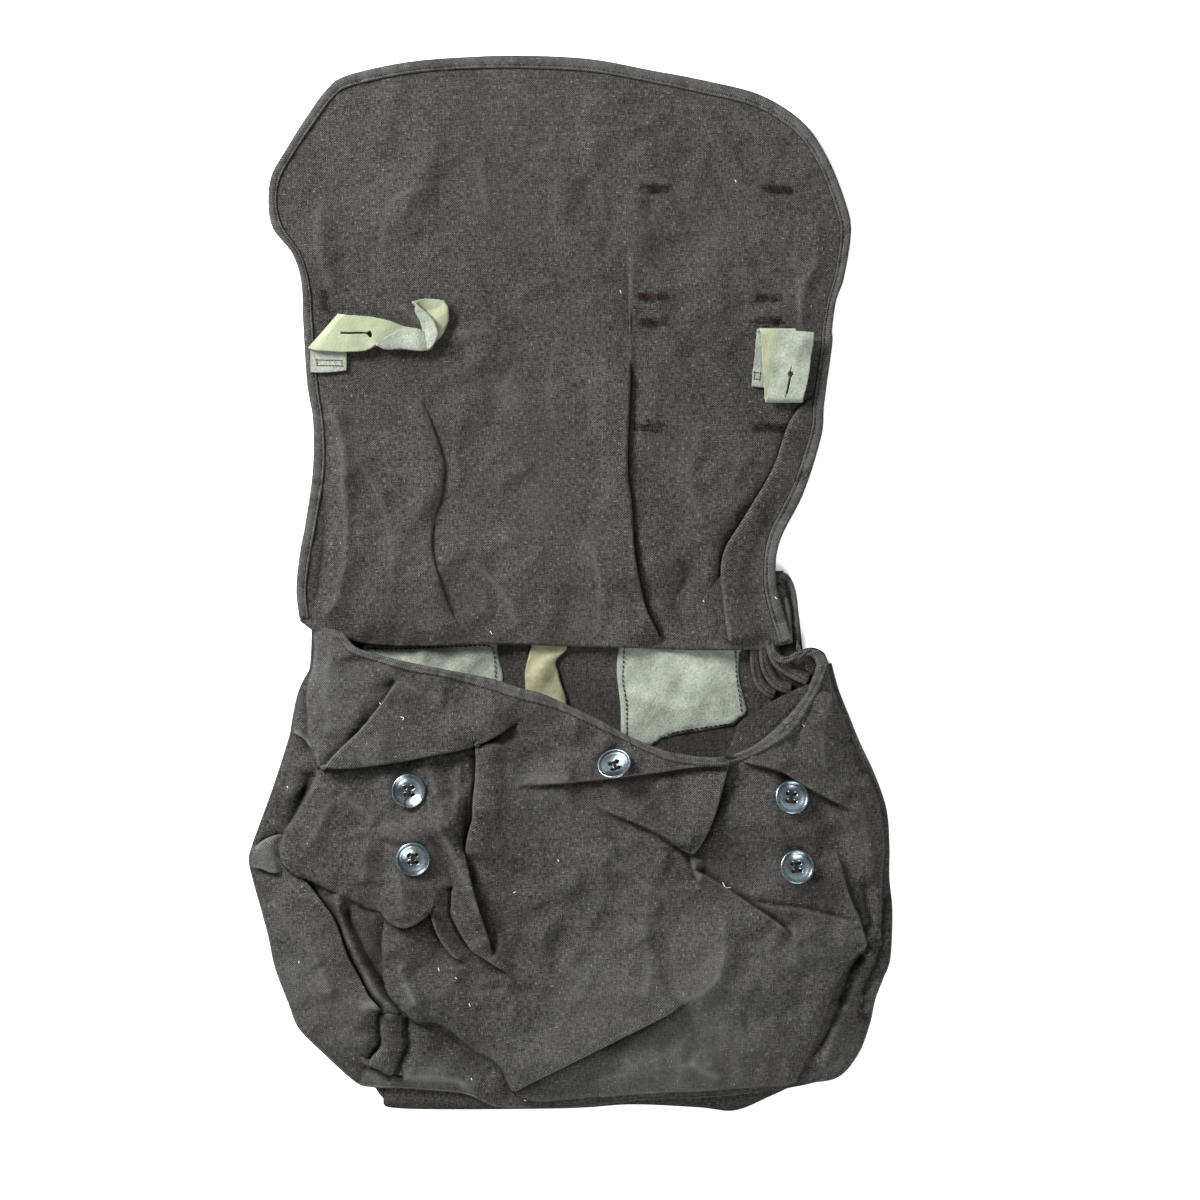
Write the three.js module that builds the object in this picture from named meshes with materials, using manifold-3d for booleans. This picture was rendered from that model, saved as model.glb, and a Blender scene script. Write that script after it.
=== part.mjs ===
// A canvas haversack lying open on its back: the flap is thrown up above the mouth, and the bag below it is
// slack and creased. Units are millimetres. +X is to the right, +Y runs from the bag's bottom to the flap's
// tip and +Z is up. The origin is under the middle of the whole thing, on the surface that it lies on.
import * as THREE from "three";
import { mergeVertices } from "three/addons/utils/BufferGeometryUtils.js";
import Module from "manifold-3d";

const wasm = await Module();
wasm.setup();

// Driving dimensions
const bagWidth = 318;
const bagHeight = 268;
const bagDepth = 20;
const flapLength = 295;
const flapWidth = 291;
const flapShift = -5.25; // the flap's middle lies this far to the side of the bag's middle
const foldBack = 35; // the slack flap doubles back this far over the mouth
const cloth = 1.2;
const layerGap = 1.2; // free space between the doubled layers of the flap
const clearance = 0.4; // between pieces that are sewn or lie together
const rimHeight = 6.6; // the front's height above the surface at the bag's edge
const puffReach = 62; // how far in from its edge the bag takes to reach its depth
const flapHemWidth = 6;
const mouthHemWidth = 5;
const hemHeight = 1.7;
const buttonDiameter = 17;
const buttonHeight = 3.2;
const buttonHoleDiameter = 2;
const buttonHoleSpacing = 3.8;
const leather = 1.5;
const tabWidth = 18;
const patchThickness = 1.1;

const totalLength = flapLength + bagHeight - foldBack;
const bagBottom = -totalLength / 2;
const bagTop = bagBottom + bagHeight;
const flapFold = bagTop - foldBack;

const canvas = new THREE.MeshStandardMaterial({ color: 0x4a4542, roughness: 0.95 });
const hemCanvas = new THREE.MeshStandardMaterial({ color: 0x54504d, roughness: 0.95 });
const suede = new THREE.MeshStandardMaterial({ color: 0xb4bba8, roughness: 0.9 });
const paleLeather = new THREE.MeshStandardMaterial({ color: 0xc9c798, roughness: 0.7 });
const dullMetal = new THREE.MeshStandardMaterial({ color: 0x8d9ba0, roughness: 0.3, metalness: 0.8 });

// Places on the bag and on the flap are shares: across, of the half width, and up, of the height.
const bagPoint = ([across, up]) => new THREE.Vector2((across * bagWidth) / 2, bagBottom + up * bagHeight);
const flapPoint = ([across, up]) =>
  new THREE.Vector2(flapShift + (across * flapWidth) / 2, flapFold + up * flapLength);
const mix = (a, b, t) => a + (b - a) * t;
const clamp01 = (t) => Math.min(1, Math.max(0, t));
const smooth = (t) => clamp01(t) ** 2 * (3 - 2 * clamp01(t));

// Stations of the gusset, anticlockwise from the mouth's left end. edge: its fold on the surface; under: where
// its lower layer meets the back; inner: where its upper layer ends below the front.
const gussetStations = [
  { edge: [-0.802, 0.87], under: [-0.77, 0.862], inner: [-0.745, 0.85] },
  { edge: [-0.814, 0.793], under: [-0.77, 0.784], inner: [-0.757, 0.765] },
  { edge: [-0.862, 0.718], under: [-0.765, 0.709], inner: [-0.77, 0.7] },
  { edge: [-0.928, 0.606], under: [-0.75, 0.606], inner: [-0.79, 0.597] },
  { edge: [-0.994, 0.494], under: [-0.738, 0.485], inner: [-0.84, 0.481] },
  { edge: [-0.975, 0.382], under: [-0.725, 0.382], inner: [-0.613, 0.401] },
  { edge: [-0.937, 0.289], under: [-0.7, 0.299], inner: [-0.547, 0.317] },
  { edge: [-0.877, 0.194], under: [-0.675, 0.215], inner: [-0.528, 0.233] },
  { edge: [-0.761, 0.101], under: [-0.65, 0.131], inner: [-0.456, 0.187] },
  { edge: [-0.673, 0.058], under: [-0.57, 0.11], inner: [-0.409, 0.177] },
  { edge: [-0.535, 0.045], under: [-0.519, 0.075], inner: [-0.33, 0.153] },
  { edge: [-0.343, 0.036], under: [-0.34, 0.071], inner: [-0.22, 0.112] },
  { edge: [-0.255, 0.018], under: [-0.252, 0.056], inner: [-0.151, 0.075] },
  { edge: [-0.031, 0.012], under: [-0.031, 0.052], inner: [-0.025, 0.06] },
  { edge: [0.164, 0.02], under: [0.164, 0.06], inner: [0.164, 0.062] },
  { edge: [0.409, 0.026], under: [0.409, 0.065], inner: [0.409, 0.068] },
  { edge: [0.597, 0.035], under: [0.591, 0.071], inner: [0.591, 0.075] },
  { edge: [0.717, 0.052], under: [0.676, 0.08], inner: [0.667, 0.088] },
  { edge: [0.824, 0.058], under: [0.79, 0.121], inner: [0.708, 0.118] },
  { edge: [0.903, 0.11], under: [0.82, 0.187], inner: [0.761, 0.177] },
  { edge: [0.937, 0.151], under: [0.835, 0.233], inner: [0.792, 0.233] },
  { edge: [0.972, 0.237], under: [0.85, 0.289], inner: [0.843, 0.299] },
  { edge: [1, 0.299], under: [0.87, 0.336], inner: [0.881, 0.345] },
  { edge: [1, 0.36], under: [0.88, 0.382], inner: [0.92, 0.41] },
  { edge: [0.997, 0.494], under: [0.88, 0.485], inner: [0.946, 0.494] },
  { edge: [0.95, 0.625], under: [0.855, 0.616], inner: [0.896, 0.612] },
  { edge: [0.906, 0.681], under: [0.835, 0.672], inner: [0.845, 0.66] },
  { edge: [0.84, 0.765], under: [0.81, 0.75], inner: [0.787, 0.745] },
  { edge: [0.818, 0.81], under: [0.79, 0.8], inner: [0.76, 0.79] },
];

// Outline of the front panel below the mouth, clockwise from the mouth's right end.
const frontSides = [
  [0.806, 0.83], [0.83, 0.775], [0.895, 0.681], [0.94, 0.625], [0.975, 0.55], [0.98, 0.48], [0.962, 0.41],
  [0.925, 0.317], [0.868, 0.265], [0.818, 0.187], [0.755, 0.11], [0.705, 0.06], [0.657, 0.052],
  [0.535, 0.046], [0.374, 0.041], [0.164, 0.036], [-0.031, 0.036], [-0.19, 0.045], [-0.235, 0.083],
  [-0.267, 0.103], [-0.349, 0.134], [-0.431, 0.168], [-0.5, 0.172], [-0.547, 0.197], [-0.588, 0.261],
  [-0.591, 0.36], [-0.742, 0.407], [-0.87, 0.442], [-0.896, 0.485], [-0.849, 0.541], [-0.796, 0.634],
  [-0.812, 0.7], [-0.8, 0.765], [-0.785, 0.85],
];

// Lower edge of the mouth's hem from left to right, then round the right corner and back.
const mouthLine = [
  [-0.745, 0.855], [-0.673, 0.85], [-0.623, 0.841], [-0.44, 0.816], [-0.252, 0.783], [-0.094, 0.747],
  [0.063, 0.701], [0.22, 0.662], [0.377, 0.646], [0.506, 0.652], [0.607, 0.677], [0.689, 0.716],
  [0.742, 0.75], [0.777, 0.787], [0.8, 0.83],
];
const mouthCorner = [
  [0.8, 0.83], [0.806, 0.846], [0.785, 0.858], [0.758, 0.861], [0.7, 0.849], [0.64, 0.838],
];

// The front's inner edge where its margin is turned outwards, from the right corner back to the left.
const turnedFold = [
  [0.711, 0.787], [0.666, 0.782], [0.628, 0.772], [0.56, 0.741], [0.531, 0.722], [0.5, 0.69],
];

// Creases of the bag. A lap is a fold that stands over its neighbour, its high side on the left of its path.
// rise is a share of the bag's depth, reach of its half width.
const frontCreases = [
  {
    name: "shoulder_fold", kind: "lap", rise: 0.16, reach: 0.16,
    path: [[-0.78, 0.636], [-0.645, 0.715], [-0.547, 0.795]],
  },
  {
    name: "left_drape", kind: "lap", rise: 0.2, reach: 0.18,
    path: [[-0.78, 0.636], [-0.494, 0.655], [-0.157, 0.724]],
  },
  {
    name: "left_lip", kind: "lap", rise: 0.28, reach: 0.2,
    path: [[-0.89, 0.47], [-0.742, 0.415], [-0.58, 0.365], [-0.44, 0.36]],
  },
  {
    name: "button_ridge", kind: "ridge", rise: 0.2, reach: 0.08,
    path: [[-0.44, 0.66], [-0.37, 0.5], [-0.34, 0.38], [-0.2, 0.27]],
  },
  {
    name: "deep_crease", kind: "ridge", rise: -0.2, reach: 0.06,
    path: [[-0.314, 0.7], [-0.321, 0.56], [-0.318, 0.455], [-0.28, 0.38]],
  },
  {
    name: "tongue", kind: "ridge", rise: 0.16, reach: 0.06,
    path: [[-0.44, 0.42], [-0.4, 0.34], [-0.37, 0.27]],
  },
  {
    name: "hem_fold", kind: "lap", rise: 0.12, reach: 0.1,
    path: [[-0.031, 0.612], [0.274, 0.634], [0.447, 0.644]],
  },
  {
    name: "centre_wing", kind: "lap", rise: 0.22, reach: 0.16,
    path: [[0.395, 0.475], [0.44, 0.532], [0.497, 0.646]],
  },
  {
    name: "wing_foot", kind: "ridge", rise: -0.12, reach: 0.08,
    path: [[0.387, 0.47], [0.226, 0.519], [0.057, 0.576]],
  },
  {
    name: "right_sweep", kind: "lap", rise: 0.14, reach: 0.16,
    path: [[0.692, 0.332], [0.56, 0.392], [0.4, 0.46]],
  },
  {
    name: "right_shoulder", kind: "lap", rise: 0.16, reach: 0.14,
    path: [[0.547, 0.646], [0.733, 0.604], [0.849, 0.573]],
  },
  {
    name: "right_hollow", kind: "ridge", rise: -0.18, reach: 0.08,
    path: [[0.84, 0.52], [0.786, 0.46], [0.78, 0.42]],
  },
  {
    name: "right_ridge", kind: "ridge", rise: 0.12, reach: 0.07,
    path: [[0.85, 0.47], [0.86, 0.4], [0.9, 0.32]],
  },
  {
    name: "belly_fold", kind: "lap", rise: 0.2, reach: 0.24,
    path: [[-0.2, 0.06], [0.072, 0.11], [0.355, 0.205], [0.46, 0.26], [0.48, 0.37]],
  },
];
const gussetCreases = [
  {
    name: "left_pleat", kind: "ridge", rise: 0.1, reach: 0.07,
    path: [[-0.82, 0.42], [-0.72, 0.28], [-0.62, 0.19]],
  },
  {
    name: "left_tube", kind: "ridge", rise: 0.12, reach: 0.05,
    path: [[-0.72, 0.4], [-0.64, 0.27], [-0.56, 0.2]],
  },
  {
    name: "right_tube", kind: "ridge", rise: 0.12, reach: 0.05,
    path: [[0.94, 0.36], [0.9, 0.24], [0.83, 0.12]],
  },
];
const flapCreases = [
  {
    name: "middle_crease", kind: "lap", rise: 0.12, reach: 0.14,
    path: [[0.242, 0.6], [0.228, 0.314], [0.256, 0.147], [0.33, 0.03]],
  },
  {
    name: "left_crease", kind: "lap", rise: 0.09, reach: 0.12,
    path: [[-0.53, 0.493], [-0.403, 0.3], [-0.437, 0.17], [-0.36, 0.05]],
  },
  {
    name: "left_roll", kind: "ridge", rise: 0.14, reach: 0.06,
    path: [[-0.79, 0.4], [-0.73, 0.25], [-0.76, 0.085]],
  },
  {
    name: "right_roll", kind: "lap", rise: 0.16, reach: 0.1,
    path: [[0.9, 0.42], [0.739, 0.298], [0.564, 0.147], [0.59, 0.03]],
  },
];
const lapDrop = 0.35; // a lap's low side falls away within this share of its reach
const creaseEnds = 0.12; // a crease starts and ends at this share of a half wave

// Edges of the flap: from the left end of its fold to the tip, along the tip, and up the right side.
const flapLeft = [
  [-0.875, 0.037], [-0.901, 0.093], [-0.873, 0.202], [-0.846, 0.34], [-0.88, 0.5], [-0.887, 0.61],
  [-0.95, 0.68], [-1, 0.749], [-0.942, 0.839], [-0.85, 0.91], [-0.732, 0.966],
];
const flapTip = [[-0.732, 0.966], [-0.537, 0.988], [-0.142, 1], [0.304, 0.976], [0.695, 0.932]];
const flapRight = [
  [0.808, 0.014], [0.753, 0.098], [0.753, 0.175], [0.835, 0.258], [0.907, 0.38], [0.935, 0.52],
  [0.976, 0.624], [1, 0.7], [0.98, 0.77], [0.921, 0.825], [0.835, 0.886], [0.695, 0.932],
];
const flapFoldLine = [
  [-0.875, 0.037], [-0.736, 0.02], [-0.479, 0.004], [0.002, 0.003], [0.482, 0], [0.808, 0.014],
];

// Edges of the back panel, each from the bottom to the top.
const backLeft = [[-0.613, 0.045], [-0.66, 0.2], [-0.723, 0.392], [-0.77, 0.7], [-0.786, 0.94], [-0.786, 1]];
const backRight = [[0.723, 0.047], [0.8, 0.2], [0.845, 0.392], [0.85, 0.5], [0.78, 0.83], [0.714, 1]];
const backBottom = [[-0.613, 0.045], [-0.55, 0.005], [-0.4, 0], [0.4, 0], [0.6, 0.012], [0.723, 0.047]];

const buttonPlaces = {
  button_upper_left: { at: [-0.503, 0.597], tilt: 0 },
  button_lower_left: { at: [-0.491, 0.472], tilt: 0 },
  button_upper_right: { at: [0.692, 0.584], tilt: 0 },
  button_lower_right: { at: [0.708, 0.455], tilt: 0 },
  button_centre: { at: [0.142, 0.644], tilt: 14 },
};

// Suede patches on the inside of the back and the pale strap end between them, as outlines on the bag.
const patches = {
  patch_left: [[-0.635, 0.863], [-0.642, 0.728], [-0.226, 0.728], [-0.226, 0.863]],
  patch_right: [[0.148, 0.86], [0.164, 0.672], [0.525, 0.672], [0.56, 0.784], [0.541, 0.86]],
};

// Sections of the strap end: its left and right edge as shares of the bag, and its rise above the back as a
// share of the bag's depth.
const strapSections = [
  { left: [-0.132, 0.858], right: [-0.02, 0.858], rise: 0.02 },
  { left: [-0.11, 0.83], right: [-0.03, 0.835], rise: 0.1 },
  { left: [-0.12, 0.8], right: [-0.035, 0.81], rise: 0.16 },
  { left: [-0.142, 0.775], right: [-0.015, 0.785], rise: 0.08 },
  { left: [-0.13, 0.74], right: [-0.01, 0.75], rise: 0.02 },
];

// Crests of the hemmed gusset folds that stand inside the mouth's right corner. rise is a share of the rim's
// height.
const nestedFolds = {
  gusset_fold_low: {
    rise: 0.5,
    path: [[0.574, 0.856], [0.571, 0.832], [0.574, 0.815], [0.585, 0.8], [0.6, 0.79]],
  },
  gusset_fold_high: { rise: 0.75, path: [[0.622, 0.83], [0.654, 0.822], [0.689, 0.814], [0.723, 0.81]] },
};

const cornerBand = [
  [-0.6, 0.172], [-0.54, 0.172], [-0.535, 0.125], [-0.563, 0.075], [-0.62, 0.09], [-0.604, 0.121],
];

// Sections of the leather tabs across the strip: [right, up, rise], with right and up as shares of its width
// from the sewn corner and rise as a share of its thickness. The left one is doubled lengthwise and curls up; the
// right one is folded in three.
const leftTab = {
  at: [-0.856, 0.463],
  sections: [
    { name: "base_end", across: [[0, 0, 0], [0.5, 0, 0], [1, 0.06, 0]] },
    { name: "base_top", across: [[0, 0.54, 0.1], [0.5, 0.56, 0.1], [1, 0.51, 0.1]] },
    { name: "turn_low", across: [[-0.02, 0.64, 0.5], [0.44, 1.08, 0.5], [0.9, 1.5, 0.5]] },
    { name: "turn", across: [[-0.03, 0.66, 1.3], [0.38, 1.13, 1.3], [0.78, 1.6, 1.3]] },
    { name: "turn_high", across: [[0.17, 0.6, 2.2], [0.56, 1.1, 2.2], [0.92, 1.6, 2.2]] },
    { name: "slit", across: [[0.97, 0.56, 2.5], [1.03, 1.08, 2.5], [1.08, 1.58, 2.5]] },
    { name: "hole", across: [[1.61, 0.62, 2.8], [1.64, 1.06, 2.5], [1.67, 1.54, 2.3]] },
    { name: "crease", across: [[2.1, 0.96, 4.4], [2.06, 0.69, 2.6], [2.22, 1.42, 2]] },
    { name: "doubled", across: [[2.58, 1.21, 4.3], [2.56, 0.67, 2.6], [2.58, 1.28, 1.2]] },
    { name: "doubled_end", across: [[3, 1.17, 4.6], [3, 0.62, 2.8], [3.06, 1.19, 1.2]] },
    { name: "curl_foot", across: [[3.4, 1, 5.2], [3.34, 0.6, 3.6], [3.5, 1, 2]] },
    { name: "curl", across: [[3.75, 1.1, 5.2], [3.6, 0.8, 4.4], [3.8, 0.9, 2.6]] },
    { name: "tip", across: [[3.5, 1.8, 5.6], [3.72, 1.72, 5], [3.86, 1.6, 3.4]] },
  ],
};
const rightTab = {
  at: [0.66, 0.436],
  sections: [
    { name: "base_end", across: [[0, 0.06, 0], [0.5, 0, 0], [1.03, -0.03, 0]] },
    { name: "base_top", across: [[0.14, 1.5, 0], [0.65, 1.5, 0], [1.17, 1.5, 0]] },
    { name: "first_turn", across: [[0.16, 1.6, 0.85], [0.67, 1.59, 0.85], [1.2, 1.58, 0.85]] },
    { name: "second_top", across: [[0.25, 1.5, 1.7], [0.75, 1.5, 1.7], [1.25, 1.5, 1.7]] },
    { name: "second_foot", across: [[0.36, -0.24, 1.7], [0.87, -0.24, 1.7], [1.39, -0.24, 1.7]] },
    { name: "second_turn", across: [[0.39, -0.34, 2.55], [0.9, -0.34, 2.55], [1.42, -0.34, 2.55]] },
    { name: "front_foot", across: [[0.42, -0.24, 3.4], [0.93, -0.24, 3.4], [1.44, -0.24, 3.4]] },
    { name: "front_hole", across: [[0.53, 0.36, 3.5], [1.05, 0.35, 3.5], [1.58, 0.33, 3.5]] },
    { name: "front_end", across: [[0.69, 1.6, 3.6], [1.2, 1.57, 3.6], [1.72, 1.53, 3.6]] },
  ],
};

// Evenly spaced points on a smooth curve through the given ones.
function along(points, count) {
  const knots = points.map((p) => new THREE.Vector3(p.x, p.y, 0));
  const curve = new THREE.CatmullRomCurve3(knots, false, "centripetal");
  return Array.from({ length: count + 1 }, (_, i) => {
    const p = curve.getPointAt(i / count);
    return new THREE.Vector2(p.x, p.y);
  });
}

// Moves each point of a path to its right by a distance.
function offsetRight(points, distance) {
  return points.map((p, i) => {
    const before = points[Math.max(i - 1, 0)];
    const after = points[Math.min(i + 1, points.length - 1)];
    const run = new THREE.Vector2().subVectors(after, before).normalize();
    return new THREE.Vector2(p.x + run.y * distance, p.y - run.x * distance);
  });
}

// The nearest point of a path: its distance, its side (left is positive) and its share of the path.
function nearest(path, x, y) {
  let best = { distance: Infinity, side: 1, share: 0 };
  for (let i = 0; i + 1 < path.length; i++) {
    const a = path[i];
    const dx = path[i + 1].x - a.x;
    const dy = path[i + 1].y - a.y;
    const t = clamp01(((x - a.x) * dx + (y - a.y) * dy) / (dx * dx + dy * dy));
    const distance = Math.hypot(x - a.x - t * dx, y - a.y - t * dy);
    if (distance < best.distance) {
      const side = dx * (y - a.y) - dy * (x - a.x) >= 0 ? 1 : -1;
      best = { distance, side, share: (i + t) / (path.length - 1) };
    }
  }
  return best;
}

// Lays a table of creases out in millimetres; halfWidth is the length that their reaches are shares of.
function laidOut(creases, place, halfWidth) {
  return creases.map(({ kind, path, rise, reach }) => ({
    line: path.map(place),
    height: rise * bagDepth,
    span: reach * halfWidth,
    drop: kind === "lap" ? lapDrop : 1,
  }));
}
const frontFolds = laidOut(frontCreases, bagPoint, bagWidth / 2);
const gussetFolds = laidOut(gussetCreases, bagPoint, bagWidth / 2);
const flapFolds = laidOut(flapCreases, flapPoint, flapWidth / 2);

// The height that a list of creases adds at a point.
function creaseHeight(folds, x, y) {
  return folds.reduce((sum, fold) => {
    const { distance, side, share } = nearest(fold.line, x, y);
    const span = side > 0 ? fold.span : fold.span * fold.drop;
    const taper = Math.sin(Math.PI * mix(creaseEnds, 1 - creaseEnds, share));
    return sum + fold.height * taper * Math.exp(-((distance / span) ** 2));
  }, 0);
}

// The puffed bag's height before creases, from the distance to its edge on the surface.
const edgeSteps = 90;
const bagEdge = [
  ...along(gussetStations.map((s) => bagPoint(s.edge)), edgeSteps),
  bagPoint([0.72, 1]),
  bagPoint([-0.79, 1]),
  bagPoint(gussetStations[0].edge),
];
function puff(x, y) {
  const inward = clamp01(nearest(bagEdge, x, y).distance / puffReach);
  return mix(bagDepth, rimHeight, (1 - inward) ** 2);
}
const frontHeight = (x, y) => puff(x, y) + creaseHeight(frontFolds, x, y);

// A closed sheet around a grid of points at its middle, half of the thickness to either side.
const straightUp = new THREE.Vector3(0, 0, 1);
function sheetGeometry(grid, thickness, upright = false) {
  const rows = grid.length;
  const columns = grid[0].length;
  const normal = (i, j) => {
    if (upright) return straightUp;
    const down = grid[Math.min(i + 1, rows - 1)][j].clone().sub(grid[Math.max(i - 1, 0)][j]);
    const across = grid[i][Math.min(j + 1, columns - 1)].clone().sub(grid[i][Math.max(j - 1, 0)]);
    return across.cross(down).normalize();
  };
  const moved = (p, i, j, side) => [...p.clone().addScaledVector(normal(i, j), side * thickness)];
  const layer = (side) => grid.flatMap((row, i) => row.flatMap((p, j) => moved(p, i, j, side)));
  const positions = [...layer(0.5), ...layer(-0.5)];
  const at = (side, i, j) => (side * rows + i) * columns + j;
  const index = [];
  const quad = (a, b, c, d) => index.push(a, b, c, a, c, d);
  for (let i = 0; i + 1 < rows; i++)
    for (let j = 0; j + 1 < columns; j++) {
      quad(at(0, i, j), at(0, i, j + 1), at(0, i + 1, j + 1), at(0, i + 1, j));
      quad(at(1, i, j), at(1, i + 1, j), at(1, i + 1, j + 1), at(1, i, j + 1));
    }
  const [lastRow, lastColumn] = [rows - 1, columns - 1];
  for (let j = 0; j < lastColumn; j++) {
    quad(at(1, 0, j), at(1, 0, j + 1), at(0, 0, j + 1), at(0, 0, j));
    quad(at(0, lastRow, j), at(0, lastRow, j + 1), at(1, lastRow, j + 1), at(1, lastRow, j));
  }
  for (let i = 0; i < lastRow; i++) {
    quad(at(0, i, 0), at(0, i + 1, 0), at(1, i + 1, 0), at(1, i, 0));
    quad(at(1, i, lastColumn), at(1, i + 1, lastColumn), at(0, i + 1, lastColumn), at(0, i, lastColumn));
  }
  return meshGeometry(positions, index);
}

function meshGeometry(positions, index) {
  const geometry = new THREE.BufferGeometry();
  geometry.setAttribute("position", new THREE.Float32BufferAttribute(positions, 3));
  return geometry.setIndex(index);
}

// A closed strip between two matched edge lines, standing on low heights: flat below and rounded above.
const rolledProfile = [[0, 0], [0, 0.5], [0.3, 1], [0.7, 1], [1, 0.5], [1, 0]];
function rolledStrip(left, right, low, height) {
  const count = rolledProfile.length;
  const positions = left.flatMap((p, i) =>
    rolledProfile.flatMap(([share, up]) => [
      mix(p.x, right[i].x, share),
      mix(p.y, right[i].y, share),
      low[i] + height * up,
    ]),
  );
  const index = [];
  for (let i = 0; i + 1 < left.length; i++)
    for (let j = 0; j < count; j++) {
      const a = i * count + j;
      const b = i * count + ((j + 1) % count);
      index.push(a, b, b + count, a, b + count, a + count);
    }
  const last = (left.length - 1) * count;
  for (let j = 1; j + 1 < count; j++) index.push(0, j + 1, j, last, last + j, last + j + 1);
  return meshGeometry(positions, index);
}

function solid(geometry) {
  const bare = geometry.clone();
  for (const name of ["normal", "uv"]) bare.deleteAttribute(name);
  const merged = mergeVertices(bare, 1e-4);
  const kept = [];
  const corners = merged.index.array;
  for (let i = 0; i < corners.length; i += 3) {
    const [a, b, c] = corners.slice(i, i + 3);
    if (a !== b && b !== c && c !== a) kept.push(a, b, c);
  }
  return new wasm.Manifold(
    new wasm.Mesh({
      numProp: 3,
      vertProperties: merged.attributes.position.array,
      triVerts: new Uint32Array(kept),
    }),
  );
}

function geometryOf(manifold) {
  const mesh = manifold.getMesh();
  return meshGeometry(mesh.vertProperties, Array.from(mesh.triVerts));
}

// An upright prism on an outline, from one height to another.
function prism(outline, low, high) {
  const shape = new THREE.Shape(outline);
  const geometry = new THREE.ExtrudeGeometry(shape, { depth: high - low, bevelEnabled: false });
  return solid(geometry.translate(0, 0, low));
}

// A sheet cut to an outline; its grid is square, and height gives its underside.
const gridStep = 10;
function cutSheet(outline, thickness, step, height) {
  const xs = outline.map((p) => p.x);
  const ys = outline.map((p) => p.y);
  const [x0, x1] = [Math.min(...xs) - step / 2, Math.max(...xs) + step / 2];
  const [y0, y1] = [Math.min(...ys) - step / 2, Math.max(...ys) + step / 2];
  const columns = Math.ceil((x1 - x0) / step);
  const rows = Math.ceil((y1 - y0) / step);
  const grid = Array.from({ length: rows + 1 }, (_, i) =>
    Array.from({ length: columns + 1 }, (_, j) => {
      const x = mix(x0, x1, j / columns);
      const y = mix(y0, y1, i / rows);
      return new THREE.Vector3(x, y, height(x, y) + thickness / 2);
    }),
  );
  const sheet = solid(sheetGeometry(grid, thickness, true));
  return geometryOf(sheet.intersect(prism(outline, -bagDepth, 3 * bagDepth)));
}

// A grid between four edges that are already divided into steps.
function coons(bottom, top, left, right) {
  return left.map((_, j) => {
    const v = j / (left.length - 1);
    return bottom.map((_, i) => {
      const u = i / (bottom.length - 1);
      const between = (key) =>
        mix(bottom[i][key], top[i][key], v) +
        mix(left[j][key], right[j][key], u) -
        mix(mix(bottom[0][key], bottom.at(-1)[key], u), mix(top[0][key], top.at(-1)[key], u), v);
      return new THREE.Vector2(between("x"), between("y"));
    });
  });
}

// The highest or lowest surface of some pieces over a point, and over a small square around it.
const bag = new THREE.Group();
function surfaceAt(names, x, y, pick, none) {
  let found = none;
  for (const name of names) {
    const p = bag.getObjectByName(name).geometry.attributes.position.array;
    for (let i = 0; i < p.length; i += 9) {
      const [ax, ay, bx, by, cx, cy] = [p[i], p[i + 1], p[i + 3], p[i + 4], p[i + 6], p[i + 7]];
      const area = (bx - ax) * (cy - ay) - (by - ay) * (cx - ax);
      if (Math.abs(area) < 1e-6) continue;
      const u = ((x - ax) * (cy - ay) - (y - ay) * (cx - ax)) / area;
      const v = ((bx - ax) * (y - ay) - (by - ay) * (x - ax)) / area;
      const height = p[i + 2] + u * (p[i + 5] - p[i + 2]) + v * (p[i + 8] - p[i + 2]);
      if (u >= 0 && v >= 0 && u + v <= 1) found = pick(found, height);
    }
  }
  return found;
}
const probeSteps = [-1, -0.5, 0, 0.5, 1];
function around(names, x, y, radius, pick, none) {
  let found = none;
  for (const dx of probeSteps)
    for (const dy of probeSteps) {
      const height = surfaceAt(names, x + dx * radius, y + dy * radius, pick, none);
      found = pick(found, height);
    }
  return found;
}
const topOver = (names, x, y, radius) => around(names, x, y, radius, Math.max, 0);
const undersideOver = (names, x, y, radius) => around(names, x, y, radius, Math.min, Infinity);

function add(name, geometry, material) {
  const flat = geometry.index ? geometry.toNonIndexed() : geometry;
  flat.computeVertexNormals();
  const mesh = new THREE.Mesh(flat, material);
  mesh.name = name;
  bag.add(mesh);
}

// The back panel and the flap are one length of canvas: flat on the surface to the bag's top, doubled back down
// over the mouth, then turned up again as the flap.
const bendRadius = (cloth + layerGap) / 2;
const bendSteps = 4;
const flapRows = 18;
const sheetColumns = 18;
const backRows = 8;
const flapRamp = 24; // the flap comes down from the doubled layers to the surface in this length

const flapLeftEdge = along(flapLeft.map(flapPoint), flapRows);
const flapTipEdge = along(flapTip.map(flapPoint), sheetColumns);
const flapRightEdge = along(flapRight.map(flapPoint), flapRows);
const foldEdge = along(flapFoldLine.map(flapPoint), sheetColumns);

function flapHeight(x, y) {
  const pastLayers = (y - bagTop - bendRadius - cloth) / flapRamp;
  const rest = mix(cloth / 2 + 4 * bendRadius, cloth / 2, smooth(pastLayers));
  return rest + Math.max(0, creaseHeight(flapFolds, x, y));
}

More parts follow.
